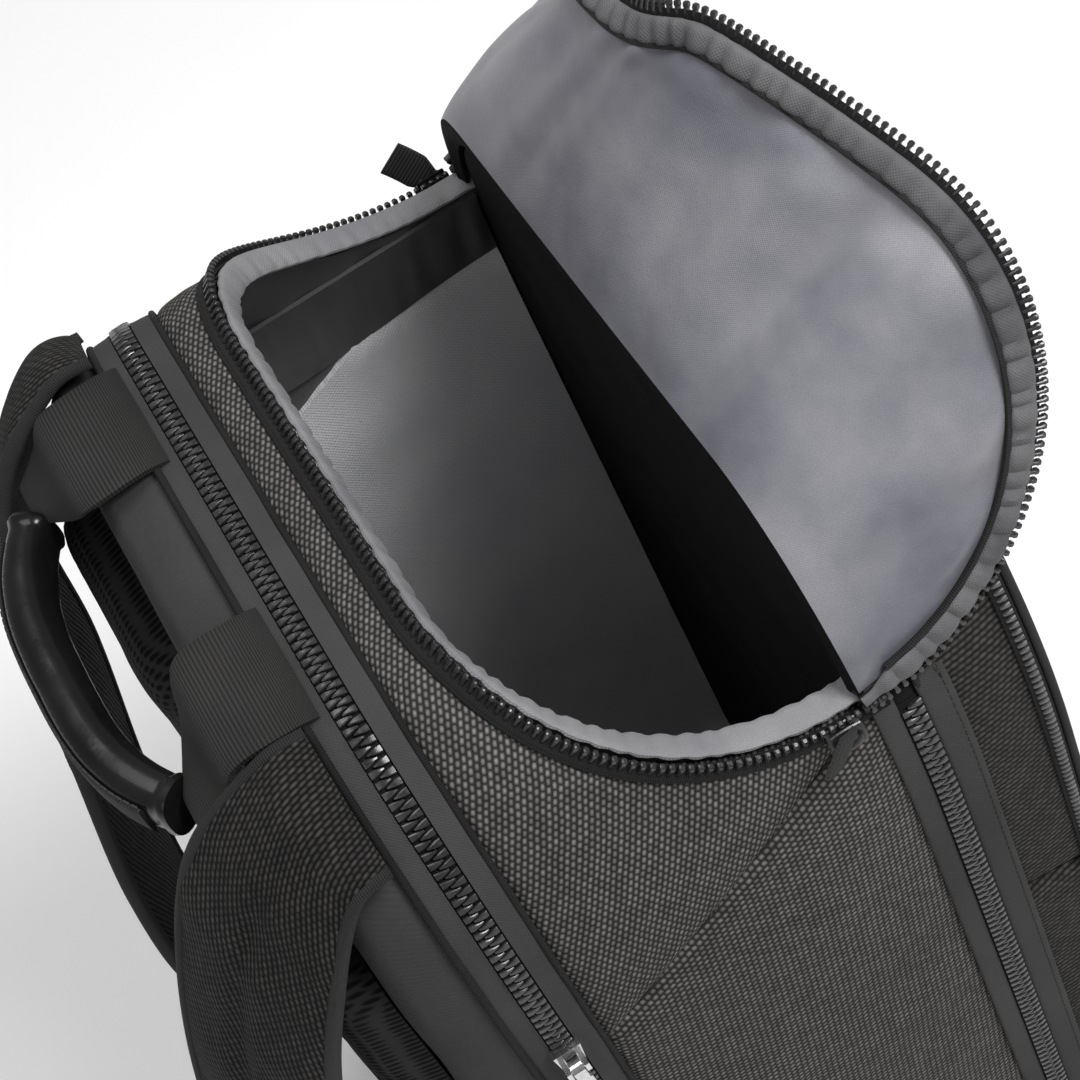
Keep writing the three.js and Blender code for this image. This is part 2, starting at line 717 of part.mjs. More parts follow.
function sliderBody() {
  const base = taperedBlock(SLIDER_WIDTH * 0.75, SLIDER_WIDTH, SLIDER_LENGTH, SLIDER_BODY);
  const lugLow = SLIDER_BODY / 2;
  const lugHigh = axisHeight + PIN_RADIUS * 2;
  const lugs = [-1, 1].map((side) => {
    const lug = new THREE.BoxGeometry(LUG_WALL, PIN_RADIUS * 4, lugHigh - lugLow);
    lug.translate(side * (eyeHalf + EYE_CLEARANCE + LUG_WALL / 2), 0, (lugHigh + lugLow) / 2);
    return lug;
  });
  const pinLength = (eyeHalf + EYE_CLEARANCE + LUG_WALL) * 2 - GAP * 2;
  const pin = new THREE.CylinderGeometry(PIN_RADIUS, PIN_RADIUS, pinLength, 12);
  pin.rotateZ(Math.PI / 2);
  pin.translate(0, 0, axisHeight);
  return join(base, ...lugs, pin);
}

function pullPlate() {
  const eye = new THREE.Shape();
  eye.absarc(0, 0, eyeOuter, 0, Math.PI * 2);
  const hole = new THREE.Path();
  hole.absarc(0, 0, eyeInner, 0, Math.PI * 2, true);
  eye.holes.push(hole);
  const drawn = { depth: eyeHalf * 2, bevelEnabled: false, curveSegments: 8 };
  const ringBody = new THREE.ExtrudeGeometry(eye, drawn);
  ringBody.rotateY(Math.PI / 2);
  ringBody.translate(-eyeHalf, 0, 0);
  const neck = new THREE.BoxGeometry(eyeHalf * 2, PULL_LENGTH * 0.2, PULL_THICKNESS);
  neck.translate(0, -eyeInner - EYE_WALL / 2 - PULL_LENGTH * 0.1, 0);
  const plateBody = taperedBlock(PULL_WIDTH, PULL_WIDTH * 0.8, PULL_LENGTH * 0.8, PULL_THICKNESS);
  plateBody.translate(0, -PULL_LENGTH * 0.6 - eyeOuter + 1, -PULL_THICKNESS / 2);
  return join(ringBody, neck, plateBody);
}

const zipTop = ZIP_HEIGHT + TRIM_LIFT + GAP;

// Sliders of the lid at the two ends of its zip, with woven tabs for pulls
const lidSliderY = -HINGE_BACK + SLIDER_LENGTH / 2 + 2;

function lidSlider(side) {
  const at = onBag(side * (RIM_ARC + ZIP_WIDTH / 2), lidSliderY, zipTop);
  return setOn(taperedBlock(SLIDER_WIDTH, SLIDER_WIDTH * 0.75, SLIDER_LENGTH, SLIDER_BODY), at,
    new THREE.Vector3(0, 1, 0), surfaceNormal(side * RIM_ARC));
}

function lidPull(side) {
  const normal = surfaceNormal(side * RIM_ARC);
  const away = new THREE.Vector3(side * PULL_LEAN, PULL_TURN, 1).normalize();
  const at = onBag(side * (RIM_ARC + ZIP_WIDTH / 2), lidSliderY, zipTop + SLIDER_BODY + GAP)
    .addScaledVector(away, TAB_LENGTH / 2);
  return setOn(taperedBlock(TAB_WIDTH * 0.6, TAB_WIDTH, TAB_LENGTH, TAB_THICKNESS), at, away, normal);
}

// Assembly
add('main_shell', mainShell(), 'weave');
add('divider_wall', plate([
  { y: yLaptopFront - GAP - INNER_WALL, inset: MAIN_WALL + GAP },
  { y: yLaptopFront - GAP, inset: MAIN_WALL + GAP },
]), 'lining');
add('front_wall', plate([
  { y: yMainFront, inset: MAIN_WALL + GAP }, { y: yMainFront + INNER_WALL, inset: MAIN_WALL + GAP },
]), 'lining');
add('rim_binding', ribbonAlong(rimFrames(-HINGE_BACK + RIM_GAP), rectangle(
  -RIM_GAP - BINDING_WALL, -RIM_GAP, -BINDING_DEPTH, 1,
)), 'binding');
add('rim_zip', ribbonAlong(rimFrames(yMainFront), rectangle(
  RIM_GAP, ZIP_WIDTH, TRIM_LIFT, TRIM_LIFT + ZIP_HEIGHT,
)), 'zip');

add('lid_panel', lidPanel(), 'lining');
add('lid_binding', ribbonAlong(lidFrames, rectangle(
  -LID_TAPE - LID_BINDING / 2, -LID_TAPE + LID_BINDING / 2,
  -LID_WALL / 2 - LID_GAP - LID_BINDING_WALL, -LID_WALL / 2 - LID_GAP,
)), 'binding');
add('lid_zip', ribbonAlong(lidFrames, rectangle(
  -LID_TAPE * 0.4, 0, -LID_WALL / 2 - LID_GAP + GAP * 2, -LID_WALL / 2 - LID_GAP + ZIP_HEIGHT,
)), 'zip');
add('lid_hinge_band', strip(
  -RIM_ARC, RIM_ARC, yGussetBack + GAP, -HINGE_BACK - GAP, -HINGE_WALL, 0,
), 'weave');

add('side_band', lowerStrip(
  RIM_ARC + LID_START, yGussetBack + GAP, yMainFront - GAP, -GUSSET_WALL, 0,
), 'smooth_fabric');
const sideZipEnd = arcShoulder + HEIGHT - SHOULDER_DROP - SIDE_ZIP_END;
[['left', -1], ['right', 1]].forEach(([name, side]) => {
  const ends = [side * (RIM_ARC + ZIP_WIDTH + 3), side * sideZipEnd].sort((a, b) => a - b);
  const middle = (yGussetBack + yMainFront) / 2;
  add(`side_zip_${name}`, strip(
    ends[0], ends[1], middle - ZIP_WIDTH / 2, middle + ZIP_WIDTH / 2, TRIM_LIFT, TRIM_LIFT + ZIP_HEIGHT,
  ), 'zip');
});

add('front_gusset', ring(yGussetFront, yGussetBack, GUSSET_WALL), 'weave');
add('front_panel', frontPanel(), 'weave');
const frontZipArc = arcShoulder + HEIGHT - SHOULDER_DROP - FRONT_ZIP_END;
add('front_zip', strip(
  -frontZipArc, frontZipArc, yGussetFront + FRONT_ZIP_EDGE, yGussetFront + FRONT_ZIP_EDGE + ZIP_WIDTH * 0.7,
  TRIM_LIFT, TRIM_LIFT + ZIP_HEIGHT * 0.7,
), 'zip');

const laptopZipArc = arcShoulder + HEIGHT - SHOULDER_DROP - LAPTOP_ZIP_END;
add('laptop_band_front', ring(yLaptopFront, yLaptopZip - ZIP_WIDTH / 2 - GAP, BAND_WALL), 'smooth_fabric');
add('laptop_band_rear', ring(yLaptopZip + ZIP_WIDTH / 2 + GAP, yBackSeam, BAND_WALL), 'smooth_fabric');
add('laptop_zip', strip(
  -laptopZipArc, laptopZipArc, yLaptopZip - ZIP_WIDTH / 2, yLaptopZip + ZIP_WIDTH / 2,
  -BAND_WALL, LAPTOP_ZIP_PROUD,
), 'zip');
add('laptop_band_base', lowerStrip(
  laptopZipArc + GAP, yLaptopZip - ZIP_WIDTH / 2, yLaptopZip + ZIP_WIDTH / 2, -BAND_WALL, 0,
), 'smooth_fabric');

add('back_panel', plate([
  { y: yBackSeam + GAP, inset: 0 }, { y: yBackFace - BACK_PANEL * 0.35, inset: 0 },
  { y: yBackFace, inset: BACK_PANEL * 0.35 },
]), 'smooth_fabric');
add('back_pad_left', backPad(-1), 'mesh');
add('back_pad_right', backPad(1), 'mesh');

[['left', -1], ['right', 1]].forEach(([name, side]) => {
  add(`handle_web_${name}`, handleWeb(side), 'webbing');
  add(`strap_${name}`, strap(side), 'weave');
  add(`strap_adjuster_${name}`, strapAdjuster(side), 'plastic');
  add(`strap_web_${name}`, strapWeb(side), 'webbing');
  add(`strap_anchor_${name}`, strapAnchor(side), 'webbing');
  add(`lid_slider_${name}`, lidSlider(side), 'black_metal');
  add(`lid_pull_${name}`, lidPull(side), 'webbing');
});
add('handle_grip', handleGrip(), 'leather');

// The slider lies along the zip, square to the outline wherever it stands
const sliderArc = arcShoulder + (HEIGHT - SHOULDER_DROP - SLIDER_HEIGHT);
const sliderBase = onBag(-sliderArc, yLaptopZip, LAPTOP_ZIP_PROUD + GAP);
const sliderNormal = surfaceNormal(-sliderArc);
const sliderAlong = new THREE.Vector3(0, 1, 0).cross(sliderNormal);
add('laptop_slider', setOn(sliderBody(), sliderBase, sliderAlong, sliderNormal), 'nickel');
const pullAxis = sliderBase.clone().addScaledVector(sliderNormal, axisHeight);
add('laptop_pull', setOn(pullPlate(), pullAxis, sliderAlong, sliderNormal), 'nickel');

export default group;
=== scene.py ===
import math

import bmesh
import bpy
import numpy as np
from mathutils import Matrix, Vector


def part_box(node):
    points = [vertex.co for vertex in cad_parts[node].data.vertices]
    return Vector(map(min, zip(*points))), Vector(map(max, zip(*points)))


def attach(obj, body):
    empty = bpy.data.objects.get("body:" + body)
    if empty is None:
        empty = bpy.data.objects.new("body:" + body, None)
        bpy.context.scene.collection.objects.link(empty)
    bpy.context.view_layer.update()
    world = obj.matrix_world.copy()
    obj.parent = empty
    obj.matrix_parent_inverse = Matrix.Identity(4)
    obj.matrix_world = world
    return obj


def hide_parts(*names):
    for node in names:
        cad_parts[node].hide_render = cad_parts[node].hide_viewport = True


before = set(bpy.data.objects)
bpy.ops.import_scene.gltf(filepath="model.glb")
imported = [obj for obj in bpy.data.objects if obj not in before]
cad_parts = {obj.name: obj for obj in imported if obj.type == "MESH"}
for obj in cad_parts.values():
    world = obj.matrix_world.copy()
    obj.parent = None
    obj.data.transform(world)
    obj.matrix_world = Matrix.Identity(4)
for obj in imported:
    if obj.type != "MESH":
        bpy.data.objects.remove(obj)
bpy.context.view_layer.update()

# The bag's main sizes, in millimetres, as the solids have them
MM = 0.001
WIDTH, HEIGHT, FLAT, DROP, BASE_R = 300.0, 480.0, 84.0, 127.0, 24.0
SHOULDER, HALF_BASE = WIDTH / 2 - FLAT, WIDTH / 2 - BASE_R
Y_GUSSET_FRONT, Y_GUSSET_BACK, Y_MAIN = -105.5, -66.0, -55.7
Y_LAPTOP, Y_ZIP, Y_SEAM, Y_BACK = 73.5, 85.75, 98.0, 123.0
BACK_PAD = 22.0
RIM_ARC, RIM_BACK, CORNER_ARC, CORNER_DEPTH = 175.0, 55.0, 111.0, 99.0
HINGE, LID_LENGTH, LID_RISE = 47.0, 112.0, 3.2
# Lean and splay of the open lid from its left end to its right end, in degrees
LID_LEANS = (7, 31, 52, 55, 33)
LID_SPLAYS = (4, -7, -10, -31, -10)
ZIP_PITCH, ZIP_PITCH_COARSE, ZIP_PITCH_FINE = 3.1, 3.7, 2.9
# Gaps between a panel's edge and its seam, and heights where the zips end
SEAM_GAP, GUSSET_GAP = 0.4, 0.3
SIDE_ZIP_END, SLIDING_ZIP_END = 70, 150
HARD_EDGE = 35
SIDES = (("left", -1), ("right", 1))


def unit(v):
    return v / np.maximum(np.linalg.norm(v, axis=-1, keepdims=True), 1e-9)


def arc_lengths(points):
    """Distance of each point of a line from the first, along the line."""
    return np.concatenate([[0], np.cumsum(np.linalg.norm(np.diff(points, axis=0), axis=-1))])


def spread(*parts):
    """Coordinates spread over each other and joined as points."""
    return np.stack(np.broadcast_arrays(*parts), -1)


def row(start, end, count):
    return np.linspace(start, end, count)[None, :]


def column(start, end, count):
    return np.linspace(start, end, count)[:, None]


def off_seam(d, reach):
    """0 on a seam, and towards 1 further from it than reach."""
    return 1 - np.exp(-d / reach)


# The bag's outline, by arc length from the middle of the top
TURNS = np.linspace(0, math.pi / 2, 601)
MID = (TURNS[1:] + TURNS[:-1]) / 2
ARCS = np.concatenate([[0], np.cumsum(np.hypot(SHOULDER * np.cos(MID), DROP * np.sin(MID)) * np.diff(TURNS))])
ARC_SHOULDER = FLAT + ARCS[-1]
ARC_SIDE = ARC_SHOULDER + HEIGHT - DROP - BASE_R
ARC_CORNER = ARC_SIDE + BASE_R * math.pi / 2
ARC_HALF = ARC_CORNER + WIDTH / 2 - BASE_R


def outline(s):
    s = np.asarray(s, float)
    side = np.where(s < 0, -1.0, 1.0)
    a = np.minimum(np.abs(s), ARC_HALF)
    t = np.interp(a - FLAT, ARCS, TURNS)
    n = np.hypot(np.sin(t) / SHOULDER, np.cos(t) / DROP)
    c = np.clip((a - ARC_SIDE) / BASE_R, 0, math.pi / 2)
    zones = [a <= FLAT, a <= ARC_SHOULDER, a <= ARC_SIDE, a <= ARC_CORNER]
    x = np.select(zones, [a, FLAT + SHOULDER * np.sin(t), WIDTH / 2 + 0 * a, HALF_BASE + BASE_R * np.cos(c)],
                  HALF_BASE - (a - ARC_CORNER))
    z = np.select(zones, [HEIGHT + 0 * a, HEIGHT - DROP * (1 - np.cos(t)), HEIGHT - DROP - (a - ARC_SHOULDER),
                          BASE_R - BASE_R * np.sin(c)], 0.0)
    nx = np.select(zones, [0 * a, np.sin(t) / SHOULDER / n, 1 + 0 * a, np.cos(c)], 0.0)
    nz = np.select(zones, [1 + 0 * a, np.cos(t) / DROP / n, 0 * a, -np.sin(c)], -1.0)
    return side * x, z, side * nx, nz


def bag(s, y, lift=0.0):
    s, y, lift = np.broadcast_arrays(np.asarray(s, float), np.asarray(y, float), np.asarray(lift, float))
    x, z, nx, nz = outline(s)
    return np.stack([x + nx * lift, y, z + nz * lift], -1)


def bag_normal(s):
    nx, nz = outline(s)[2:]
    return np.stack([nx, 0 * nx, nz], -1)


def arc_at(z):
    """Arc length of the straight side at a height."""
    return ARC_SHOULDER + HEIGHT - DROP - z


# The open lid
def smooth_row(values, share):
    values = np.asarray(values, float)
    last = len(values) - 1
    spot = np.clip(share, 0, 1) * last
    i = np.clip(np.floor(spot).astype(int), 0, last - 1)
    t = spot - i
    p0, p1, p2, p3 = (values[np.clip(i + k, 0, last)] for k in (-1, 0, 1, 2))
    bend = (2 * p0 - 5 * p1 + 4 * p2 - p3) * t ** 2 + (3 * p1 - p0 - 3 * p2 + p3) * t ** 3
    return p1 + ((p2 - p0) * t + bend) / 2


def lid_point(s, q):
    share = (s / RIM_ARC + 1) / 2
    lean, splay = (np.radians(smooth_row(v, share)) for v in (LID_LEANS, LID_SPLAYS))
    along = np.stack([np.sin(splay), -np.cos(lean) * np.cos(splay), np.sin(lean) * np.cos(splay)], -1)
    return bag(s, -HINGE, LID_RISE) + along * q[..., None]


def lid_normal(s, q):
    across = lid_point(s + 1, q) - lid_point(s - 1, q)
    away = lid_point(s, q + 1) - lid_point(s, q - 1)
    return unit(np.cross(across, away))


def lid(s, q, lift):
    s, q, lift = np.broadcast_arrays(np.asarray(s, float), np.asarray(q, float), np.asarray(lift, float))
    return lid_point(s, q) + lid_normal(s, q) * lift[..., None]


def lid_edge(inset, steps=48, middle=40):
    turn = np.linspace(0, math.pi / 2, steps)
    half, arc = RIM_ARC - inset, CORNER_ARC - inset
    s = half - arc + arc * np.cos(turn)
    q = LID_LENGTH - CORNER_DEPTH + (CORNER_DEPTH - inset) * np.sin(turn)
    flat = np.linspace(-(half - arc), half - arc, middle + 2)[1:-1]
    return (np.concatenate([-s, flat, s[::-1]]),
            np.concatenate([q, np.full(middle, LID_LENGTH - inset), q[::-1]]))


def rim_edge(out=0.0, steps=60):
    """The rim's path from the near end of the fold round the back to the far end, moved out by out."""
    turn = np.linspace(0, math.pi / 2, steps)
    s = RIM_ARC - CORNER_ARC + (CORNER_ARC + out) * np.cos(turn)
    y = RIM_BACK - CORNER_DEPTH + (CORNER_DEPTH + out) * np.sin(turn)
    flat = np.linspace(-(RIM_ARC - CORNER_ARC), RIM_ARC - CORNER_ARC, 32)[1:-1]
    start = np.linspace(Y_MAIN, RIM_BACK - CORNER_DEPTH, 6)[:-1]
    end = np.full(5, RIM_ARC + out)
    return (np.concatenate([-end, -s, flat, s[::-1], end]),
            np.concatenate([start, y, np.full(30, RIM_BACK + out), y[::-1], start[::-1]]))


# Shapes: points, faces and texture coordinates in millimetres
class Shape:
    def __init__(self):
        self.points, self.quads, self.tris, self.quad_uv, self.tri_uv, self.count = [], [], [], [], [], 0

    def add(self, points, quads=(), tris=(), uv=None, quad_uv=None):
        points = np.asarray(points, float).reshape(-1, 3)
        uv = np.zeros((len(points), 2)) if uv is None else np.asarray(uv, float).reshape(-1, 2)
        quads, tris = np.asarray(quads, int).reshape(-1, 4), np.asarray(tris, int).reshape(-1, 3)
        self.quad_uv.append(uv[quads] if quad_uv is None else quad_uv)
        self.tri_uv.append(uv[tris])
        self.points.append(points)
        self.quads.append(quads + self.count)
        self.tris.append(tris + self.count)
        self.count += len(points)
        return self


def grid_quads(nu, nv):
    i = np.arange(nu * nv).reshape(nu, nv)
    return np.stack([i[:-1, :-1], i[1:, :-1], i[1:, 1:], i[:-1, 1:]], -1).reshape(-1, 4)


def slab(outer, inner, uv):
    """A closed plate between two grids of points."""
    nu, nv = outer.shape[:2]
    size = nu * nv
    quads = grid_quads(nu, nv)
    i = np.arange(size).reshape(nu, nv)
    edge = np.concatenate([i[:, 0], i[-1, 1:], i[-2::-1, -1], i[0, -2:0:-1]])
    after = np.roll(edge, -1)
    sides = np.stack([edge, after, after + size, edge + size], -1)
    points = np.concatenate([outer.reshape(-1, 3), inner.reshape(-1, 3)])
    uv = np.concatenate([uv.reshape(-1, 2), uv.reshape(-1, 2)])
    return Shape().add(points, np.concatenate([quads, quads[:, ::-1] + size, sides]), uv=uv)


def loft(shape, rings, closed=False, caps=True):
    """Rings of equal size joined one after another; texture runs round the ring and along it."""
    n, k = rings.shape[:2]
    i = np.arange(n * k).reshape(n, k)
    following = np.roll(i, -1, axis=0) if closed else i[1:]
    here = i if closed else i[:-1]
    quads = np.stack([here, np.roll(here, -1, 1), np.roll(following, -1, 1), following], -1).reshape(-1, 4)
    round_ = np.linalg.norm(np.roll(rings, -1, 1) - rings, axis=-1).mean(0)
    u = np.concatenate([[0], np.cumsum(round_)])
    step = np.linalg.norm(np.roll(rings, -1, 0) - rings, axis=-1).mean(1)
    v = np.concatenate([[0], np.cumsum(step)])
    spans = len(here)
    corner = np.zeros((spans, k, 4, 2))
    corner[..., 0, 0] = corner[..., 3, 0] = u[:-1]
    corner[..., 1, 0] = corner[..., 2, 0] = u[1:]
    corner[..., 0, 1] = corner[..., 1, 1] = v[:spans, None]
    corner[..., 2, 1] = corner[..., 3, 1] = v[1:spans + 1, None]
    points, tris = rings.reshape(-1, 3), []
    if caps and not closed:
        ends = np.stack([rings[0].mean(0), rings[-1].mean(0)])
        points = np.concatenate([points, ends])
        for ring, centre in ((i[0], n * k), (i[-1], n * k + 1)):
            tris.append(np.stack([ring, np.roll(ring, -1), np.full(k, centre)], -1))
    return shape.add(points, quads, np.concatenate(tris) if tris else (), quad_uv=corner.reshape(-1, 4, 2))


def rounded(width, height, count=16, power=2.6):
    """A rounded rectangle of count points about the middle, as (across, up)."""
    t = np.linspace(0, 2 * math.pi, count, endpoint=False)
    c, s = np.cos(t), np.sin(t)
    return np.stack([np.sign(c) * np.abs(c) ** (2 / power) * width / 2,
                     np.sign(s) * np.abs(s) ** (2 / power) * height / 2], -1)


def frames(points, normals):
    along = unit(np.gradient(points, axis=0))
    aside = unit(np.cross(normals, along))
    return along, aside, unit(np.cross(along, aside))


def spaced(points, normals, spacing, phase=0.5):
    """Places at even spacing along a path, with their frames."""
    arc = arc_lengths(points)
    at = np.arange(spacing * phase, arc[-1], spacing)
    along = frames(points, normals)[0]
    p, n, d = (np.stack([np.interp(at, arc, a[:, k]) for k in range(3)], -1)
               for a in (points, normals, along))
    d = unit(d)
    aside = unit(np.cross(n, d))
    return p, d, aside, unit(np.cross(d, aside))


def ribbon(shape, points, normals, section, caps=True):
    """A section, as (out, up) points, that may change along the path, swept along it."""
    along, aside, up = frames(points, normals)
    section = np.broadcast_to(section, (len(points),) + np.shape(section)[-2:])
    rings = points[:, None] + aside[:, None] * section[..., :1] + up[:, None] * section[..., 1:]
    return loft(shape, rings, caps=caps)


def strip(shape, s, section):
    """A section, as (y, lift) points, swept along the outline."""
    section = np.broadcast_to(section, (len(s),) + np.shape(section)[-2:])
    return loft(shape, bag(s[:, None], section[..., 0], section[..., 1]))


def scatter(shape, template, places, scale=1.0):
    """A copy of the template, as (across, along, up) points and faces, at each place."""
    points, quads, tris = template
    p, d, aside, up = places
    local = points[None] * scale
    world = (p[:, None] + local[..., :1] * aside[:, None] + local[..., 1:2] * d[:, None]
             + local[..., 2:] * up[:, None])
    step = np.arange(len(p))[:, None, None] * len(points)
    return shape.add(world.reshape(-1, 3), (quads[None] + step).reshape(-1, 4),
                     (tris[None] + step).reshape(-1, 3), uv=np.tile(points[:, :2], (len(p), 1)))


def lathe_block(stations):
    """A template from stations (across, half width along, low, high), each a rounded rectangle."""
    rings = []
    for across, half, low, high in stations:
        c = min(half, (high - low) / 2) * 0.42
        ring = [(-half + c, low), (half - c, low), (half, low + c), (half, high - c),
                (half - c, high), (-half + c, high), (-half, high - c), (-half, low + c)]
        rings.append([(across, y, z) for y, z in ring])
    shape = loft(Shape(), np.array(rings))
    return shape.points[0], shape.quads[0], shape.tris[0]


TOOTH = lathe_block([(-0.4, 0.5, -0.6, 0.6), (0.6, 0.72, -1.05, 1.05), (2.6, 0.66, -1.1, 1.1),
                     (3.1, 1.0, -1.2, 1.2), (4.3, 0.95, -1.1, 1.1), (4.7, 0.55, -0.6, 0.6)])
SPIKE = lathe_block([(-0.6, 1.25, -0.8, 0.6), (0.9, 1.2, -1.0, 1.0), (3.1, 0.6, -0.9, 0.95),
                     (4.3, 0.35, -0.5, 0.5)])
STITCH = lathe_block([(-0.22, 1.1, -0.1, 0.15), (0.0, 1.35, -0.3, 0.3), (0.22, 1.1, -0.1, 0.15)])


def waves(u, v, seed, length, count=9, tilt=None, spread=math.pi):
    """A smooth random ripple of about unit height; tilt and spread choose which way it runs."""
    rng = np.random.RandomState(seed)
    total = np.zeros(np.broadcast(u, v).shape)
    for _ in range(count):
        angle = (0 if tilt is None else tilt) + rng.uniform(-spread, spread)
        k = 2 * math.pi / (length * rng.uniform(0.6, 1.6))
        total = total + np.sin(k * (u * math.cos(angle) + v * math.sin(angle)) + rng.uniform(0, 2 * math.pi))
    return total / math.sqrt(count)


def distance_to(points, edge):
    """How far each 2-D point is from a line of points."""
    flat = points.reshape(-1, 1, 2)
    best = np.full(len(flat), 1e9)
    a, b = edge[:-1], edge[1:]
    for start in range(0, len(a), 64):
        p, d = a[start:start + 64], b[start:start + 64] - a[start:start + 64]
        t = np.clip(((flat - p) * d).sum(-1) / np.maximum((d ** 2).sum(-1), 1e-9), 0, 1)
        best = np.minimum(best, np.linalg.norm(flat - p - t[..., None] * d, axis=-1).min(1))
    return best.reshape(points.shape[:-1])


def border(plane):
    return np.concatenate([plane[:, 0], plane[-1, 1:], plane[-2::-1, -1], plane[0, -2::-1]])


def cushion(d, puff, reach, dip, seam=2.4):
    """Height over a seamed panel at distance d from its seams."""
    return puff * off_seam(d, reach) - dip * np.exp(-(d / seam) ** 1.5)


def ripples(plane, seed, length):
    return waves(plane[..., 0], plane[..., 1], seed, length)


def turned(uv, degrees):
    a = math.radians(degrees)
    return np.stack([uv[..., 0] * math.cos(a) + uv[..., 1] * math.sin(a),
                     -uv[..., 0] * math.sin(a) + uv[..., 1] * math.cos(a)], -1)


# Materials
class Nodes:
    """A material's node tree, with short ways to add nodes and to join them."""

    def __init__(self, name):
        self.material = bpy.data.materials.new(name)
        self.material.use_nodes = True
        self.tree = self.material.node_tree
        self.shader = self.tree.nodes["Principled BSDF"]

    def put(self, node, socket, value):
        if isinstance(value, bpy.types.NodeSocket):
            self.tree.links.new(value, node.inputs[socket])
        else:
            node.inputs[socket].default_value = value

    def add(self, kind, inputs=(), **settings):
        node = self.tree.nodes.new("ShaderNode" + kind)
        for key, value in settings.items():
            setattr(node, key, value)
        for socket, value in dict(inputs).items():
            self.put(node, socket, value)
        return node

    def math(self, operation, a, b=0.5, c=0.5):
        return self.add("Math", {0: a, 1: b, 2: c}, operation=operation).outputs[0]

    def crests(self, value, factor):
        """Rounded ribs: the height of a sine without its sign."""
        return self.math("ABSOLUTE", self.math("SINE", self.math("MULTIPLY", value, factor)))

    def mix(self, share, a, b, blend="MIX"):
        node = self.add("Mix", data_type="RGBA", blend_type=blend)
        for socket, value in ((0, share), (6, a), (7, b)):
            self.put(node, socket, value)
        return node.outputs[2]

    def noise(self, vector, scale, detail=3.0, rough=0.55):
        inputs = {"Vector": vector, "Scale": scale, "Detail": detail, "Roughness": rough}
        return self.add("TexNoise", inputs).outputs[0]

    def range(self, value, low, high, to_low, to_high):
        return self.add("MapRange", {0: value, 1: low, 2: high, 3: to_low, 4: to_high}).outputs[0]

    def surface(self, **inputs):
        for socket, value in inputs.items():
            self.put(self.shader, socket.replace("_", " "), value)
        return self.material

    def bump(self, height, distance, strength=1.0, normal=None):
        node = self.add("Bump", {"Height": height, "Distance": distance, "Strength": strength})
        if normal is not None:
            self.tree.links.new(normal, node.inputs["Normal"])
        return node.outputs[0]

    def coordinates(self):
        node = self.add("TexCoord")
        return node.outputs["UV"], node.outputs["Object"]


def grey(value, warm=0.0):
    return (value * (1 + warm), value, value * (1 - warm), 1.0)


def weave(name, gap_shade, thread, warm, pitch=1.9, length=2.6, dips=0.85):
    """Coarse weave: ribs along u whose threads dive in half-dropped rows, with painted shade where they dive
    and a painted highlight on their crests.
    """
    n = Nodes(name)
    uv, place = n.coordinates()
    bent = n.add("VectorMath", {0: n.noise(uv, 0.12, 2.0), 1: (0.9, 0.9, 0.0), 2: uv},
                 operation="MULTIPLY_ADD")
    split = n.add("SeparateXYZ", {0: bent.outputs[0]})
    line = n.math("DIVIDE", split.outputs[1], pitch)
    drop = n.math("MULTIPLY", n.math("FLOORED_MODULO", n.math("FLOOR", line), 2.0), 0.5)
    along = n.math("MULTIPLY_ADD", split.outputs[0], 1 / length, drop)
    crest = n.math("POWER", n.crests(along, math.pi), 0.9)
    height = n.math("MULTIPLY", n.crests(line, math.pi), n.math("MULTIPLY_ADD", crest, dips, 1 - dips))
    cell = n.add("CombineXYZ", {0: n.math("FLOOR", along), 1: n.math("FLOOR", line)}).outputs[0]
    single = n.add("TexWhiteNoise", {"Vector": cell}, noise_dimensions="2D").outputs["Value"]
    worn = n.range(n.noise(place, 9.0, 4.0), 0.3, 0.7, 0.84, 1.14)
    # Colour by thread height: painted shade in the gaps, painted highlight on the crests
    shade = n.mix(n.range(height, 0.3, 1.0, 0.0, 1.0), grey(gap_shade, warm), grey(thread, warm))
    shade = n.mix(1.0, shade, n.math("MULTIPLY", worn, n.range(single, 0.0, 1.0, 0.72, 1.18)), "MULTIPLY")
    return n.surface(Base_Color=shade, Roughness=n.range(height, 0.0, 1.0, 1.0, 0.85),
                     Normal=n.bump(height, 0.0005), Sheen_Weight=0.01, Sheen_Roughness=0.4,
                     Specular_IOR_Level=0.12)


def cloth(name, dark, light, thread=0.7, roughness=0.85, warm=0.0, sheen=0.2, depth=0.00012, cloudy=14.0,
          specular=0.3, blue=0.0):
    """Plain fine cloth: a tight weave of crossed threads and soft cloudy shading."""
    n = Nodes(name)
    uv, place = n.coordinates()
    split = n.add("SeparateXYZ", {0: uv})
    k = math.pi / thread
    a, b = (n.math("SINE", n.math("MULTIPLY", split.outputs[i], k)) for i in (0, 1))
    height = n.math("MULTIPLY", n.math("MULTIPLY", a, b), 0.5)
    cloud = n.range(n.noise(place, cloudy, 4.0), 0.32, 0.68, 0.0, 1.0)
    fibre = n.range(n.noise(uv, 1.7, 3.0), 0.3, 0.7, 0.9, 1.1)
    shade = n.mix(cloud, (dark * (1 + warm), dark, dark * (1 - warm + blue), 1.0),
                  (light * (1 + warm), light, light * (1 - warm + blue / 3), 1.0))
    shade = n.mix(1.0, shade, n.math("ADD", fibre, n.math("MULTIPLY", height, 0.14)), "MULTIPLY")
    normal = n.bump(n.math("ADD", height, n.math("MULTIPLY", n.noise(uv, 0.5, 3.0), 1.2)), depth)
    return n.surface(Base_Color=shade, Roughness=roughness, Normal=normal, Sheen_Weight=sheen,
                     Sheen_Roughness=0.35, Specular_IOR_Level=specular)


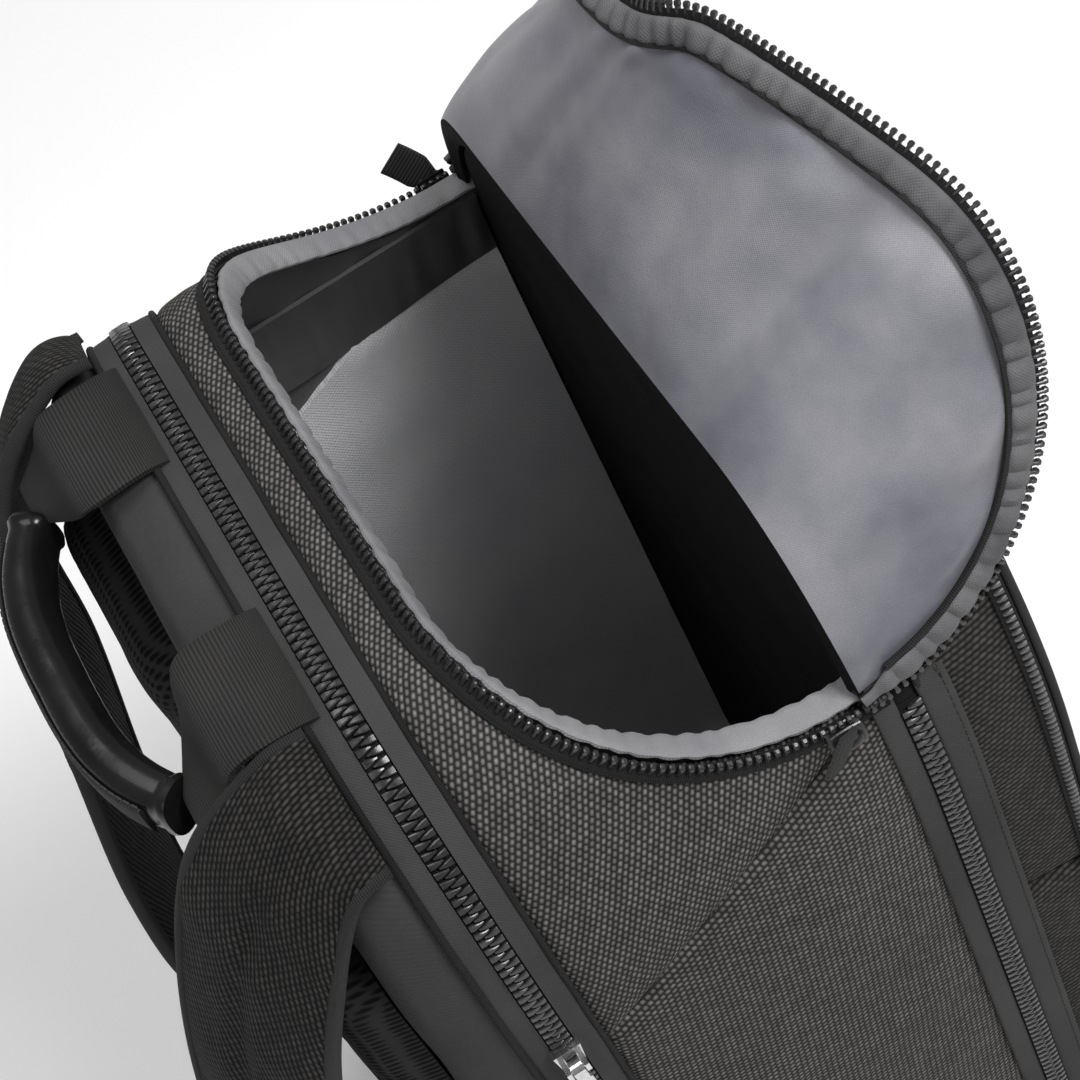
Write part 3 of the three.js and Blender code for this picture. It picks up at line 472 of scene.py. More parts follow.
def ribs(name, dark, light, pitch=0.8, warm=0.0):
    """Woven tape or webbing: fine ribs with short slanted threads across them, with painted shade in the
    grooves and a painted highlight on the crests.
    """
    n = Nodes(name)
    uv, place = n.coordinates()
    split = n.add("SeparateXYZ", {0: uv})
    cross, main = split.outputs[0], split.outputs[1]
    lean = n.math("ADD", main, n.math("MULTIPLY", cross, 0.35))
    rib, fine = n.crests(main, math.pi / pitch), n.crests(lean, 2.2 * math.pi / pitch)
    height = n.math("ADD", n.math("MULTIPLY", rib, 0.75), n.math("MULTIPLY", fine, 0.25))
    cloud = n.range(n.noise(place, 18.0, 3.0), 0.3, 0.7, 0.8, 1.2)
    # Colour by rib height: painted shade in the grooves, painted highlight on the crests
    shade = n.mix(1.0, n.mix(height, grey(dark, warm), grey(light, warm)), cloud, "MULTIPLY")
    return n.surface(Base_Color=shade, Roughness=0.75, Normal=n.bump(height, 0.00035), Sheen_Weight=0.02,
                     Sheen_Roughness=0.4, Specular_IOR_Level=0.15)


def leather(name):
    n = Nodes(name)
    place = n.coordinates()[1]
    grain = n.add("TexVoronoi", {"Vector": place, "Scale": 620.0}, feature="SMOOTH_F1").outputs["Distance"]
    worn = n.range(n.noise(place, 22.0, 4.0), 0.35, 0.65, 0.0, 1.0)
    shade = n.mix(worn, grey(0.002), grey(0.007, 0.02))
    rough = n.range(n.noise(place, 45.0, 3.0), 0.3, 0.7, 0.22, 0.36)
    folds = n.bump(n.noise(place, 34.0, 2.0), 0.0005)
    normal = n.bump(grain, 0.00008, 0.5, folds)
    return n.surface(Base_Color=shade, Roughness=rough, Normal=normal, Coat_Weight=0.12, Coat_Roughness=0.1,
                     Specular_IOR_Level=0.22)


def moulded(name, dark, light, roughness=0.4, metallic=0.0, specular=0.5):
    """Moulded plastic or plated metal with handling marks."""
    n = Nodes(name)
    place = n.coordinates()[1]
    marks = n.noise(place, 320.0, 4.0, 0.7)
    shade = n.mix(n.range(marks, 0.35, 0.7, 0.0, 1.0), grey(dark), grey(light))
    rough = n.range(n.noise(place, 120.0, 3.0), 0.3, 0.7, roughness * 0.8, min(1.0, roughness * 1.3))
    return n.surface(Base_Color=shade, Roughness=rough, Metallic=metallic,
                     Normal=n.bump(marks, 0.0002, 0.5), Specular_IOR_Level=specular)


def spacer_mesh(name):
    """Air mesh: round holes in offset rows."""
    n = Nodes(name)
    uv, place = n.coordinates()
    inputs = {"Vector": uv, "Scale": 0.36, "Randomness": 0.12}
    cells = n.add("TexVoronoi", inputs, feature="F1").outputs["Distance"]
    hole = n.range(cells, 0.22, 0.42, 0.0, 1.0)
    cloud = n.range(n.noise(place, 20.0, 3.0), 0.3, 0.7, 0.85, 1.15)
    shade = n.mix(1.0, n.mix(hole, grey(0.004), grey(0.026)), cloud, "MULTIPLY")
    return n.surface(Base_Color=shade, Roughness=0.9, Normal=n.bump(hole, 0.0007), Sheen_Weight=0.01,
                     Specular_IOR_Level=0.12)


WEAVE = weave("weave_charcoal", 0.022, 0.15, 0.04)
WEAVE_RIB = weave("weave_ribbed", 0.008, 0.052, 0.05, pitch=2.3, length=2.9, dips=0.4)
WEAVE_STRAP = weave("weave_strap", 0.005, 0.042, 0.04, length=2.5, dips=0.55)
SMOOTH = cloth("smooth_charcoal", 0.030, 0.044, thread=0.6, sheen=0.01, warm=0.01, specular=0.15)
SATIN = cloth("lining_satin", 0.10, 0.235, thread=0.45, roughness=0.4, sheen=0.05, depth=0.00006,
              cloudy=15.0, specular=0.45, blue=0.24)
FLEECE = cloth("lining_fleece", 0.58, 0.68, thread=0.9, roughness=0.95, depth=0.0002, cloudy=12.0, blue=0.03)
DARK_SATIN = cloth("lining_collar", 0.04, 0.075, thread=0.45, roughness=0.45, sheen=0.05, depth=0.00006,
                   specular=0.45)
# Near-black lining: painted shade for the front wall of the compartment and for the lid's fold
SHADE_LINING = cloth("lining_painted_shade", 0.003, 0.006, thread=0.8, roughness=0.9, sheen=0.0, specular=0.1)
BINDING = cloth("binding_grey", 0.14, 0.22, thread=0.6, roughness=0.8, sheen=0.05, depth=0.00014,
                cloudy=25.0, blue=0.08)
BINDING_LID = cloth("binding_lid", 0.055, 0.125, thread=0.6, roughness=0.8, sheen=0.03, depth=0.00014,
                    cloudy=25.0, blue=0.08)
TAPE = ribs("zip_tape", 0.004, 0.012)
WEBBING = ribs("webbing_fine", 0.005, 0.03, pitch=1.25, warm=0.03)
EDGE = ribs("edge_binding", 0.008, 0.028)
MESH = spacer_mesh("air_mesh")
LEATHER = leather("leather_black")
TEETH = moulded("zip_teeth", 0.008, 0.026, roughness=0.27, specular=0.55)
COIL = moulded("zip_coil", 0.04, 0.10)
NICKEL = moulded("nickel", 0.50, 0.62, roughness=0.22, metallic=1.0)
BLACK_METAL = moulded("black_metal", 0.02, 0.05, roughness=0.3, metallic=0.6)
PLASTIC = moulded("buckle_plastic", 0.010, 0.018, roughness=0.45)
THREAD = cloth("thread_dark", 0.02, 0.04, thread=0.3, roughness=0.8, sheen=0.0, specular=0.15)


# Pieces
def build(name, shape, material, sharp=50):
    points = np.concatenate(shape.points) * MM
    quads, tris = np.concatenate(shape.quads), np.concatenate(shape.tris)
    mesh = bpy.data.meshes.new(name)
    mesh.from_pydata(points.tolist(), [], quads.tolist() + tris.tolist())
    uv = np.concatenate([np.concatenate(part).reshape(-1, 2) for part in (shape.quad_uv, shape.tri_uv)])
    mesh.uv_layers.new(name="UVMap").data.foreach_set("uv", uv.astype(np.float32).ravel())
    work = bmesh.new()
    work.from_mesh(mesh)
    bmesh.ops.recalc_face_normals(work, faces=work.faces)
    work.to_mesh(mesh)
    work.free()
    mesh.shade_smooth()
    mesh.set_sharp_from_angle(angle=math.radians(sharp))
    mesh.materials.append(material)
    piece = bpy.data.objects.new(name, mesh)
    bpy.context.scene.collection.objects.link(piece)
    return piece


def settle(piece, replaces=()):
    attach(piece, "bag")
    if replaces:
        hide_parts(*replaces)


def make(name, shape, material, replaces=(), sharp=50):
    settle(build(name, shape, material, sharp), replaces)


def co_of(mesh):
    co = np.zeros(len(mesh.vertices) * 3, np.float32)
    mesh.vertices.foreach_get("co", co)
    return co.reshape(-1, 3).astype(float)


CLOTH_FRAMES = 20


def inflate(piece, pinned, cap, pressure=3.0):
    """Lets the cloth fill out under pressure, with its seams pinned, and keeps the result."""
    group = piece.vertex_groups.new(name="seams")
    for weight in sorted(set(np.round(pinned, 2))):
        members = np.nonzero(np.round(pinned, 2) == weight)[0].tolist()
        if weight > 0:
            group.add(members, float(weight), "REPLACE")
    modifier = piece.modifiers.new("fill", "CLOTH")
    settings = modifier.settings
    settings.vertex_group_mass = "seams"
    settings.quality = 4
    settings.mass = 0.3
    settings.tension_stiffness = settings.compression_stiffness = 12
    settings.shear_stiffness = 6
    settings.bending_stiffness = 0.6
    settings.use_pressure = True
    settings.uniform_pressure_force = pressure
    settings.effector_weights.gravity = 0
    modifier.point_cache.frame_end = CLOTH_FRAMES
    scene = bpy.context.scene
    for step in range(1, CLOTH_FRAMES + 1):
        scene.frame_set(step)
    done = piece.evaluated_get(bpy.context.evaluated_depsgraph_get())
    after = co_of(done.data)
    before = co_of(piece.data)
    move = after - before
    move[~np.isfinite(move).all(1)] = 0
    size = np.linalg.norm(move, axis=1, keepdims=True)
    move *= np.minimum(1, cap * MM / np.maximum(size, 1e-9))
    piece.modifiers.remove(modifier)
    piece.vertex_groups.remove(group)
    scene.frame_set(1)
    piece.data.vertices.foreach_set("co", (before + move).astype(np.float32).ravel())
    piece.data.update()


def pins(d, reach):
    """Hold at the seams of the outer face and all over the inner one."""
    return np.concatenate([np.exp(-d.ravel() / reach), np.ones(d.size)])


PANEL_THICK = 2.2


def panel(name, s, y, material, puff, weave_turn, seed, replaces=(), ripple=0.5, fill_cap=0.0):
    """A seamed panel of woven cloth on the bag, over a grid of places on it."""
    plane = np.stack([s, y], -1)
    d = distance_to(plane, border(plane))
    lift = cushion(d, puff, 16, 1.6) + ripple * waves(s, y, seed, 70) * off_seam(d, 18)
    lift = np.where(lift > 0, lift * np.clip(outline(s)[1] / 14, 0, 1), lift)
    inner = bag(s, y, np.minimum(lift - PANEL_THICK, -PANEL_THICK / 2))
    piece = build(name, slab(bag(s, y, lift), inner, turned(plane, weave_turn)), material)
    if fill_cap:
        inflate(piece, pins(d, 5), fill_cap)
    settle(piece, replaces)


def base_piece(name, start, end, rows, columns, reach, thick):
    """A flat piece under the bag, a little higher at its seams."""
    plane = spread(column(-HALF_BASE, HALF_BASE, rows), row(start, end, columns))
    low = (0.25 + 0.5 * np.exp(-distance_to(plane, border(plane)) / reach))[..., None]
    outer, inner = (np.concatenate([plane, z], -1) for z in (low, low + thick))
    make(name, slab(outer, inner, plane), WEAVE)


# Main compartment: yoke round the opening, side panels below the slanting seams, base
SEAM_START, SEAM_SLOPE = 178.0, 0.61


def seam_arc(y):
    return SEAM_START + SEAM_SLOPE * np.maximum(0, y + 50)


def yoke_grid(rows, out, end_y):
    """Rays from the middle of the fold, from the rim to the seams of the yoke."""
    hub = np.array([0.0, Y_MAIN - 1.0])

    def angle(p):
        return np.arctan2(p[:, 1] - hub[1], -(p[:, 0] - hub[0]))

    yy = np.linspace(Y_MAIN, end_y, 34)
    left = np.stack([-seam_arc(yy), yy], -1)
    top = np.stack([np.linspace(-seam_arc(end_y), seam_arc(end_y), 110)[1:-1], np.full(108, end_y)], -1)
    far = np.concatenate([left, top, (left * [-1, 1])[::-1]])
    rim = np.stack(rim_edge(out), -1)
    radius = np.interp(angle(far), angle(rim), np.linalg.norm(rim - hub, axis=1))
    near = hub + unit(far - hub) * radius[:, None]
    share = np.linspace(0, 1, rows) ** 1.15
    both = near[:, None] + (far - near)[:, None] * share[None, :, None]
    return both[..., 0], both[..., 1]


s, y = yoke_grid(26, 1.0, Y_LAPTOP - SEAM_GAP)
panel("yoke", s, y, WEAVE, 2.6, -28, 3, replaces=["main_shell"], fill_cap=2.5)

for name, side in SIDES:
    y = row(Y_MAIN + SEAM_GAP, Y_LAPTOP - SEAM_GAP, 32)
    seam = seam_arc(y) + 0.6
    s = side * (seam + (ARC_CORNER - 0.5 - seam) * column(0, 1, 96))
    panel(f"side_panel_{name}", s, y + 0 * s, WEAVE, 3.2, side * 62, 5 + side, ripple=0.8, fill_cap=3.0)
base_piece("base_panel", Y_MAIN + SEAM_GAP, Y_LAPTOP - SEAM_GAP, 60, 24, 4, 3)

# Lining: light padded walls, a dark satin collar under the rim, and a near-black front wall whose colour is
# painted shade
LINING_FRONT, LINING_BACK = -48.6, 65.6
WALL_LIFT = -2.9
s, y = yoke_grid(14, -1.2, 66.0)
inner = bag(s, y, -7.6 + 0.5 * waves(s, y, 11, 26))
make("yoke_lining", slab(bag(s, y, WALL_LIFT), inner, np.stack([s, y], -1)), DARK_SATIN)

COLLAR = 44.0
for name, side in SIDES:
    share = column(0, 1, 22)
    y = row(LINING_FRONT, LINING_BACK, 60) + 0 * share
    s = side * (RIM_ARC - 1 + (COLLAR + 4 * np.sin(y / 31)) * share)
    wave = 0.9 * waves(s * 0.45, y, 21 + side, 15, tilt=math.pi / 2, spread=0.35)
    wave = wave * np.sin(math.pi * share) ** 0.5
    shape = slab(bag(s, y, -7.9 + 0.2 * wave), bag(s, y, -9.6 + wave), np.stack([s, y], -1))
    make(f"collar_{name}", shape, DARK_SATIN)

y = row(LINING_FRONT, LINING_BACK, 34)
near = -(seam_arc(y) + (ARC_HALF - seam_arc(y)) * column(0, 1, 90))
walls = np.concatenate([near, -near[::-1][1:]])
y = y + 0 * walls
below = np.clip((np.abs(walls) - RIM_ARC - COLLAR + 6) / 9, 0, 1)
inner_lift = -7.0 - 1.6 * below
inner_lift -= 1.8 * np.sin(math.pi * (y - LINING_FRONT) / (LINING_BACK - LINING_FRONT)) * below
inner_lift += 0.5 * waves(walls, y, 31, 60) * below
shape = slab(bag(walls, y, WALL_LIFT), bag(walls, y, inner_lift), np.stack([walls, y], -1))
make("wall_lining", shape, FLEECE)

OUTLINE_ARCS = np.linspace(FLAT, ARC_CORNER, 500)


def outline_grid(rows, columns, inset):
    """Places (x, z) over the bag's outline, moved in by inset, and how far each is from its edge."""
    points = bag(OUTLINE_ARCS, 0.0, -inset)
    z = column(points[-1, 2], points[0, 2], rows)
    half = np.interp(z, points[::-1, 2], points[::-1, 0])
    x = row(-1, 1, columns) * half
    plane = np.stack([x, z + 0 * x], -1)
    right = points[:, [0, 2]]
    loop = np.concatenate([right, (right * [-1, 1])[::-1], right[:1]])
    return plane, distance_to(plane, loop)


def stand(plane, y):
    return np.stack([plane[..., 0], y + 0 * plane[..., 0], plane[..., 1]], -1)


plane, d = outline_grid(90, 56, 8.3)
bulge = 1.6 * off_seam(d, 25) + 0.4 * ripples(plane, 41, 60)
make("divider_lining", slab(stand(plane, 67.0 - bulge), stand(plane, 73.0), plane), FLEECE,
     ["divider_wall"])
# The front wall's near-black colour is painted shade
make("front_wall_lining", slab(stand(plane, -49.6 + bulge), stand(plane, -55.2), plane), SHADE_LINING,
     ["front_wall"])

# Rim: gathered grey binding inside, black tape and one row of teeth
rim_s, rim_y = rim_edge()
rim_points, rim_normals = bag(rim_s, rim_y), bag_normal(rim_s)


def gathered(a, seed, spacing, height):
    """How a gathered edge swells and pinches at the distances a along it."""
    rng = np.random.RandomState(seed)
    at = np.cumsum(rng.uniform(0.55, 1.45, int(700 / spacing) + 8)) * spacing
    pinch = np.exp(-((a[:, None] - at[None]) / (spacing * 0.22)) ** 2).sum(1)
    return 1 - height * np.minimum(1, pinch)


def sweep(name, points, normals, section, material, slot, replaces=(), spacing=2.0):
    """A piece with the same section all along a path, or one that a function gives by distance."""
    p, d, aside, up = spaced(points, normals, spacing, 0.0)
    if callable(section):
        section = section(np.arange(len(p)) * spacing)
    make(name, ribbon(Shape(), p, up, section), material, replaces)


def oval(out, up, width, height, turn, count=14):
    """A rounded section about (out, up), turned by so many degrees."""
    ring = rounded(width, height, count)
    a = math.radians(turn)
    return np.stack([out + ring[:, 0] * math.cos(a) - ring[:, 1] * math.sin(a),
                     up + ring[:, 0] * math.sin(a) + ring[:, 1] * math.cos(a)], -1)


def rim_binding(a):
    pinch = gathered(a, 51, 9.0, 0.32)
    fine = 1 + 0.05 * waves(a, 0 * a, 52, 5.0)
    core = oval(-3.6, -3.6, 3.4, 11.0, -16)
    middle = np.array([-3.4, -3.6])
    return middle + (core - middle) * np.stack([(pinch * fine), 0.94 + 0.06 * pinch], -1)[:, None, :]


rim = (rim_points, rim_normals)
sweep("rim_binding_cloth", *rim, rim_binding, BINDING, "binding", ["rim_binding"], 1.6)
sweep("rim_tape", *rim, oval(2.7, 1.5, 5.4, 1.5, 4), TAPE, "zip", ["rim_zip"])
sweep("rim_piping", *rim, oval(5.4, 0.9, 2.0, 2.2, 0, 10), TAPE, "smooth_fabric")


def teeth_row(shape, points, normals, out, up, turn, phase=0.5, flip=1, pitch=ZIP_PITCH, scale=1.0,
              tooth=TOOTH):
    """One row of teeth whose heads point out from the path, leaning up by so many degrees."""
    p, d, aside, n = spaced(points, normals, pitch, phase)
    a = math.radians(turn)
    reach = flip * (aside * math.cos(a)) + n * math.sin(a)
    high = n * math.cos(a) - flip * aside * math.sin(a)
    return scatter(shape, tooth, (p + aside * out + n * up, d, reach, high), scale)


make("rim_teeth", teeth_row(Shape(), *rim, 2.6, 2.0, 38, flip=-1), TEETH, sharp=HARD_EDGE)

# Lid: satin lining that fills out between its seams, weave outside, gathered binding, tape and teeth
LID_START = 1.0
edge_s, edge_q = lid_edge(6.5)
share = row(0, 1, 42)
s = edge_s[:, None] + 0 * share
q = LID_START + (edge_q[:, None] - LID_START) * share
plane = np.stack([s, q], -1)
d = distance_to(plane, border(plane))
calm = off_seam(d, 12)
folds = waves(s, q * 0.16, 61, 34, tilt=0, spread=0.25)
folds = 3.0 * np.sign(folds) * np.abs(folds) ** 1.3 * calm * np.clip(q / 112, 0.2, 1) ** 0.6
edge_arc = arc_lengths(np.stack([edge_s, edge_q], -1))[:, None]
puckers = 1.5 * waves(edge_arc + 0 * share, 0 * share, 67, 24) * np.exp(-((d - 11) / 7) ** 2)
puckers = puckers * np.clip((q - 20) / 25, 0, 1)
satin_lift = -1.2 - cushion(d, 3.4, 13, 0.0) - 0.9 * folds - 0.5 * waves(s, q, 63, 80) * calm - puckers
piece = build("lid_lining", slab(lid(s, q, satin_lift), lid(s, q, 0.0), plane), SATIN)
inflate(piece, pins(d, 4), 2.0, 2.0)
settle(piece, ["lid_panel"])

weave_lift = 2.2 + cushion(d, 2.4, 14, 0.6) + 0.5 * waves(s, q, 65, 60) * calm
make("lid_weave", slab(lid(s, q, 0.2), lid(s, q, weave_lift), turned(plane, 30)), WEAVE)

lid_s, lid_q = lid_edge(0.0)
lid_s = np.concatenate([[-RIM_ARC], lid_s, [RIM_ARC]])
lid_q = np.concatenate([[LID_START], lid_q, [LID_START]])
lid_points, lid_normals = lid_point(lid_s, lid_q), lid_normal(lid_s, lid_q)


def lid_binding(a):
    pinch = gathered(a, 71, 8.0, 0.5)
    fine = 1 + 0.05 * waves(a, 0 * a, 72, 5.0)
    core = oval(-5.8, -3.6, 8.8, 5.2, 8, 18)
    middle, seam = np.array([-5.8, -2.6]), np.array([-3.0, -2.6])
    ring = middle + (core - middle) * np.stack([0.95 + 0.05 * pinch, pinch * fine], -1)[:, None, :]
    taper = np.clip(np.minimum(a, a[-1] - a) / 14, 0.3, 1) ** 0.7
    return seam + (ring - seam) * taper[:, None, None]


outer_edge = (lid_points, lid_normals)
sweep("lid_binding_cloth", *outer_edge, lid_binding, BINDING_LID, "binding", ["lid_binding"], 1.6)
# A dark cord where the lining meets the binding: painted shade of the step there
sweep("lid_seam", lid_points[1:-1], lid_normals[1:-1], oval(-10.4, -3.6, 2.0, 2.6, 0, 8), EDGE, "binding")
sweep("lid_tape", *outer_edge, oval(-2.6, -1.3, 6.4, 1.5, 6), TAPE, "zip", ["lid_zip"])
sweep("lid_piping", *outer_edge, oval(-3.6, 1.5, 6.5, 3.4, -12), SMOOTH, "smooth_fabric")
make("lid_teeth", teeth_row(Shape(), *outer_edge, -1.0, -1.2, 6, scale=0.92), TEETH,
     sharp=HARD_EDGE)

# Fold of the lid: weave outside, lining inside
s = column(-RIM_ARC, RIM_ARC, 90)
y = row(Y_GUSSET_BACK + GUSSET_GAP, -HINGE - GUSSET_GAP, 10)
s, y = s + 0 * y, y + 0 * s
lift = 0.6 + 1.0 * np.sin(math.pi * (y - y.min()) / np.ptp(y))
shape = slab(bag(s, y, lift), bag(s, y, -2.6), turned(np.stack([s, y], -1), 90))
make("lid_fold", shape, WEAVE, ["lid_hinge_band"])

# The fold's lining is near-black: painted shade where it runs into the dark inside
s = np.linspace(-RIM_ARC + 5, RIM_ARC - 5, 80)
fold_grid = np.stack([lid(s, 2.5, -0.8), lid(s, 0.8, -1.0), bag(s, -HINGE + 0.6, -1.4),
                      bag(s, -HINGE - 0.8, -6.5)], 1)
shift = np.stack([lid_normal(s, 0 * s + 5), lid_normal(s, 0 * s + 2), lid_normal(s, 0 * s + 2),
                  np.tile([0.0, -1.0, 0.0], (80, 1))], 1)
shape = slab(fold_grid, fold_grid + shift * 1.2, spread(s[:, None], np.arange(4) * 6.0))
make("fold_lining", shape, SHADE_LINING)

# Side zips and the smooth bands beside them
MID_ZIP = (Y_GUSSET_BACK + Y_MAIN) / 2
FLAP_TAPER = 6.0


def flap(shape, s, y_low, y_high, low, high):
    """A flat smooth band with rolled edges that tapers to nothing at its two ends."""
    middle, half = (y_low + y_high) / 2, (high - low) / 2
    ring = rounded(y_high - y_low, high - low, 16, 3.2)
    close = np.clip(np.minimum(s - s.min(), s.max() - s) / FLAP_TAPER, 0.05, 1)[:, None]
    lift = (low + high) / 2 + ring[None, :, 1] * close - half * (1 - close)
    return strip(shape, s, spread(middle + ring[None, :, 0], lift))


def zip_teeth(s, y, lift):
    """Two rows of teeth that mesh along the outline at depth y."""
    line, shape = (bag(s, y, lift), bag_normal(s)), Shape()
    teeth_row(shape, *line, -3.1, 0.0, 0, 0.25, 1, ZIP_PITCH_COARSE, tooth=SPIKE)
    return teeth_row(shape, *line, 3.1, 0.0, 0, 0.75, -1, ZIP_PITCH_COARSE, tooth=SPIKE)


for name, side in SIDES:
    span = np.linspace(RIM_ARC + 2, ARC_CORNER, 170)
    above_base = side * span[span < ARC_CORNER - 13][::side]
    ends = side * np.linspace(RIM_ARC + 9, arc_at(SIDE_ZIP_END), 130)[::side]
    under = flap(Shape(), side * span[::side], Y_GUSSET_BACK + GUSSET_GAP, Y_MAIN - GUSSET_GAP, -2.8, 0.4)
    make(f"side_band_{name}", under, TAPE, ["side_band"] if side < 0 else ())
    tape = flap(Shape(), ends, MID_ZIP - 4.4, MID_ZIP + 4.4, 0.5, 1.7)
    make(f"side_tape_{name}", tape, TAPE, [f"side_zip_{name}"])
    flaps = flap(Shape(), above_base, MID_ZIP + 3.9, MID_ZIP + 12.0, 0.6, 2.6)
    flap(flaps, above_base, MID_ZIP - 15.0, MID_ZIP - 3.9, 0.6, 2.4)
    make(f"side_flaps_{name}", flaps, SMOOTH)
    make(f"side_teeth_{name}", zip_teeth(ends, MID_ZIP, 2.6), TEETH, sharp=HARD_EDGE)
    places = spaced(bag(above_base, MID_ZIP - 12.6, 2.3), bag_normal(above_base), 3.6)
    make(f"side_stitches_{name}", scatter(Shape(), STITCH, places), THREAD)

ring = rounded(Y_MAIN - Y_GUSSET_BACK - 0.6, 2.6, 14, 3.2)
rings = spread(column(-HALF_BASE, HALF_BASE, 40), MID_ZIP + ring[None, :, 0], 1.7 + ring[None, :, 1])
make("side_band_base", loft(Shape(), rings), SMOOTH)

# Front compartment: ribbed gusset in two pieces, front panel, coil zip and piping
GUSSET_SEAM = 326.0
GUSSET_EDGES = (Y_GUSSET_FRONT + GUSSET_GAP, Y_GUSSET_BACK - GUSSET_GAP)
y = row(*GUSSET_EDGES, 14)
slant = -0.16 * (y - Y_GUSSET_FRONT)
s = column(-1, 1, 200) * (GUSSET_SEAM + slant)
panel("gusset_top", s, y + 0 * s, WEAVE_RIB, 1.8, 101, 9, replaces=["front_gusset"])
for name, side in SIDES:
    s = side * (GUSSET_SEAM + 0.8 + slant + (ARC_CORNER - GUSSET_SEAM - slant) * column(0, 1, 80))
    panel(f"gusset_low_{name}", s, y + 0 * s, WEAVE_RIB, 2.2, 101, 12 + side)
base_piece("gusset_base", *GUSSET_EDGES, 50, 10, 3, 2.5)

plane, d = outline_grid(110, 70, 1.0)
dome = 8.6 * off_seam(d, 17) + 1.0 * off_seam(d, 60) + 0.6 * ripples(plane, 81, 90)
shape = slab(stand(plane, Y_GUSSET_FRONT - dome), stand(plane, Y_GUSSET_FRONT + 0.2), plane)
piece = build("front_panel_cloth", shape, WEAVE)
inflate(piece, pins(d, 5), 2.5)
settle(piece, ["front_panel"])

s = np.linspace(-arc_at(SLIDING_ZIP_END), arc_at(SLIDING_ZIP_END), 260)
shape = flap(Shape(), s, Y_GUSSET_FRONT + 2.0, Y_GUSSET_FRONT + 8.0, 0.8, 2.0)
make("front_tape", shape, TAPE, ["front_zip"])
shape = teeth_row(Shape(), bag(s, Y_GUSSET_FRONT + 5.0, 2.4), bag_normal(s), -1.3, 0.0, 0,
                  pitch=ZIP_PITCH_FINE, scale=0.7, tooth=SPIKE)
make("front_coil", shape, COIL, sharp=HARD_EDGE)

# Piping round the whole bag, tucked in under the base; the laptop and back pipings are near-black tape, as
# painted shade in the seams beside the smooth bands
loop = np.concatenate([np.linspace(0, ARC_HALF, 420), np.linspace(-ARC_HALF, 0, 420)[1:-1]])[:, None]
under_base = np.abs(loop) > ARC_CORNER - 8
for name, yy, lift, size, material in (
        ("front", Y_GUSSET_FRONT, 0.4, 3.4, EDGE), ("gusset", Y_GUSSET_BACK, 0.6, 2.6, EDGE),
        ("laptop", Y_LAPTOP, 0.2, 2.4, TAPE), ("back", Y_SEAM, 0.6, 2.8, TAPE)):
    ring = rounded(size, size, 10, 2.0)
    under = np.where(under_base, -1.0 - size / 2, 0.0)
    shape = loft(Shape(), bag(loop, yy + ring[None, :, 0], lift + under + ring[None, :, 1]), closed=True)
    make(f"piping_{name}", shape, material)

# Laptop compartment: smooth bands with a rolled edge beside the teeth
for name, low, high, nodes in (
        ("front", Y_LAPTOP, Y_ZIP - 4.0, ["laptop_band_front", "laptop_band_base"]),
        ("rear", Y_ZIP + 4.0, Y_SEAM, ["laptop_band_rear"])):
    yy = row(low + 0.2, high - 0.2, 11)
    near_zip = (yy - low) / (high - low) if name == "front" else (high - yy) / (high - low)
    lift = 0.5 + 1.1 * near_zip ** 4 + 0.5 * np.sin(math.pi * near_zip) + 0.25 * waves(loop, yy, 91, 40)
    lift = lift + np.where(under_base, -2.4, 0.0)
    section = np.concatenate([bag(loop, yy, lift), bag(loop, yy, lift - 2.4)[:, ::-1]], 1)
    make(f"laptop_{name}_cloth", loft(Shape(), section, closed=True), SMOOTH, nodes)
shape = flap(Shape(), np.sort(loop[np.abs(loop) < ARC_CORNER]), Y_ZIP - 4.4, Y_ZIP + 4.4, -1.6, 0.4)
make("laptop_tape", shape, TAPE, ["laptop_zip"])
s = np.linspace(-arc_at(SLIDING_ZIP_END), arc_at(SLIDING_ZIP_END), 300)
make("laptop_teeth", zip_teeth(s, Y_ZIP, 1.7), TEETH, sharp=HARD_EDGE)

# Back panel and its mesh pads
plane, d = outline_grid(110, 70, 0.6)
height = 23.4 * off_seam(d, 4.5) ** 0.6 + 1.0 * off_seam(d, 40) + 0.3 * ripples(plane, 95, 60)
shape = slab(stand(plane, Y_SEAM + 0.3), stand(plane, Y_SEAM + 0.5 + height), plane)
make("back_panel_cloth", shape, SMOOTH, ["back_panel"])


def pad_grid(side):
    """Places (x, z) over a back pad with rounded corners, and how far each is from its edge."""
    low, high, radius = (15.0, 50.0), (128.0, 410.0), 22.0
    u, v = row(-1, 1, 34), column(-1, 1, 90)
    hx, hz = (high[0] - low[0]) / 2, (high[1] - low[1]) / 2
    over = np.maximum(np.abs(v * hz) - (hz - radius), 0) / radius
    squeeze = (hx - radius + radius * np.sqrt(np.maximum(0, 1 - over ** 2))) / hx
    x = (low[0] + high[0]) / 2 + u * hx * np.where(over > 0, squeeze, 1)
    plane = np.stack([side * x, (low[1] + high[1]) / 2 + v * hz + 0 * u], -1)
    return plane, distance_to(plane, border(plane))


for name, side in SIDES:
    plane, d = pad_grid(side)
    channel = sum(np.exp(-((plane[..., 1] - z) / 4.5) ** 2) for z in (140, 230, 320))
    height = 20.8 * off_seam(d, 5) ** 0.7 * (1 - 0.35 * channel) + 0.3 * ripples(plane, 97, 30)
    shape = slab(stand(plane, Y_BACK + 0.4), stand(plane, Y_BACK + 1.4 + height), plane)
    piece = build(f"back_pad_{name}_cloth", shape, MESH)
    held = np.maximum(np.exp(-d.ravel() / 4), 0.9 * channel.ravel().clip(0, 1))
    inflate(piece, np.concatenate([np.ones(d.size), held]), 2.0)
    settle(piece, [f"back_pad_{name}"])

# Carrying handle
REACH, DROP_H, GRIP_HALF = 62.0, 24.0, 66.0


def handle_point(share):
    share = np.asarray(share, float)
    bow = 1 - 0.26 * np.abs(share) ** 3
    return np.stack([GRIP_HALF * share, Y_SEAM + REACH * bow, HEIGHT - DROP_H + 0 * share], -1)


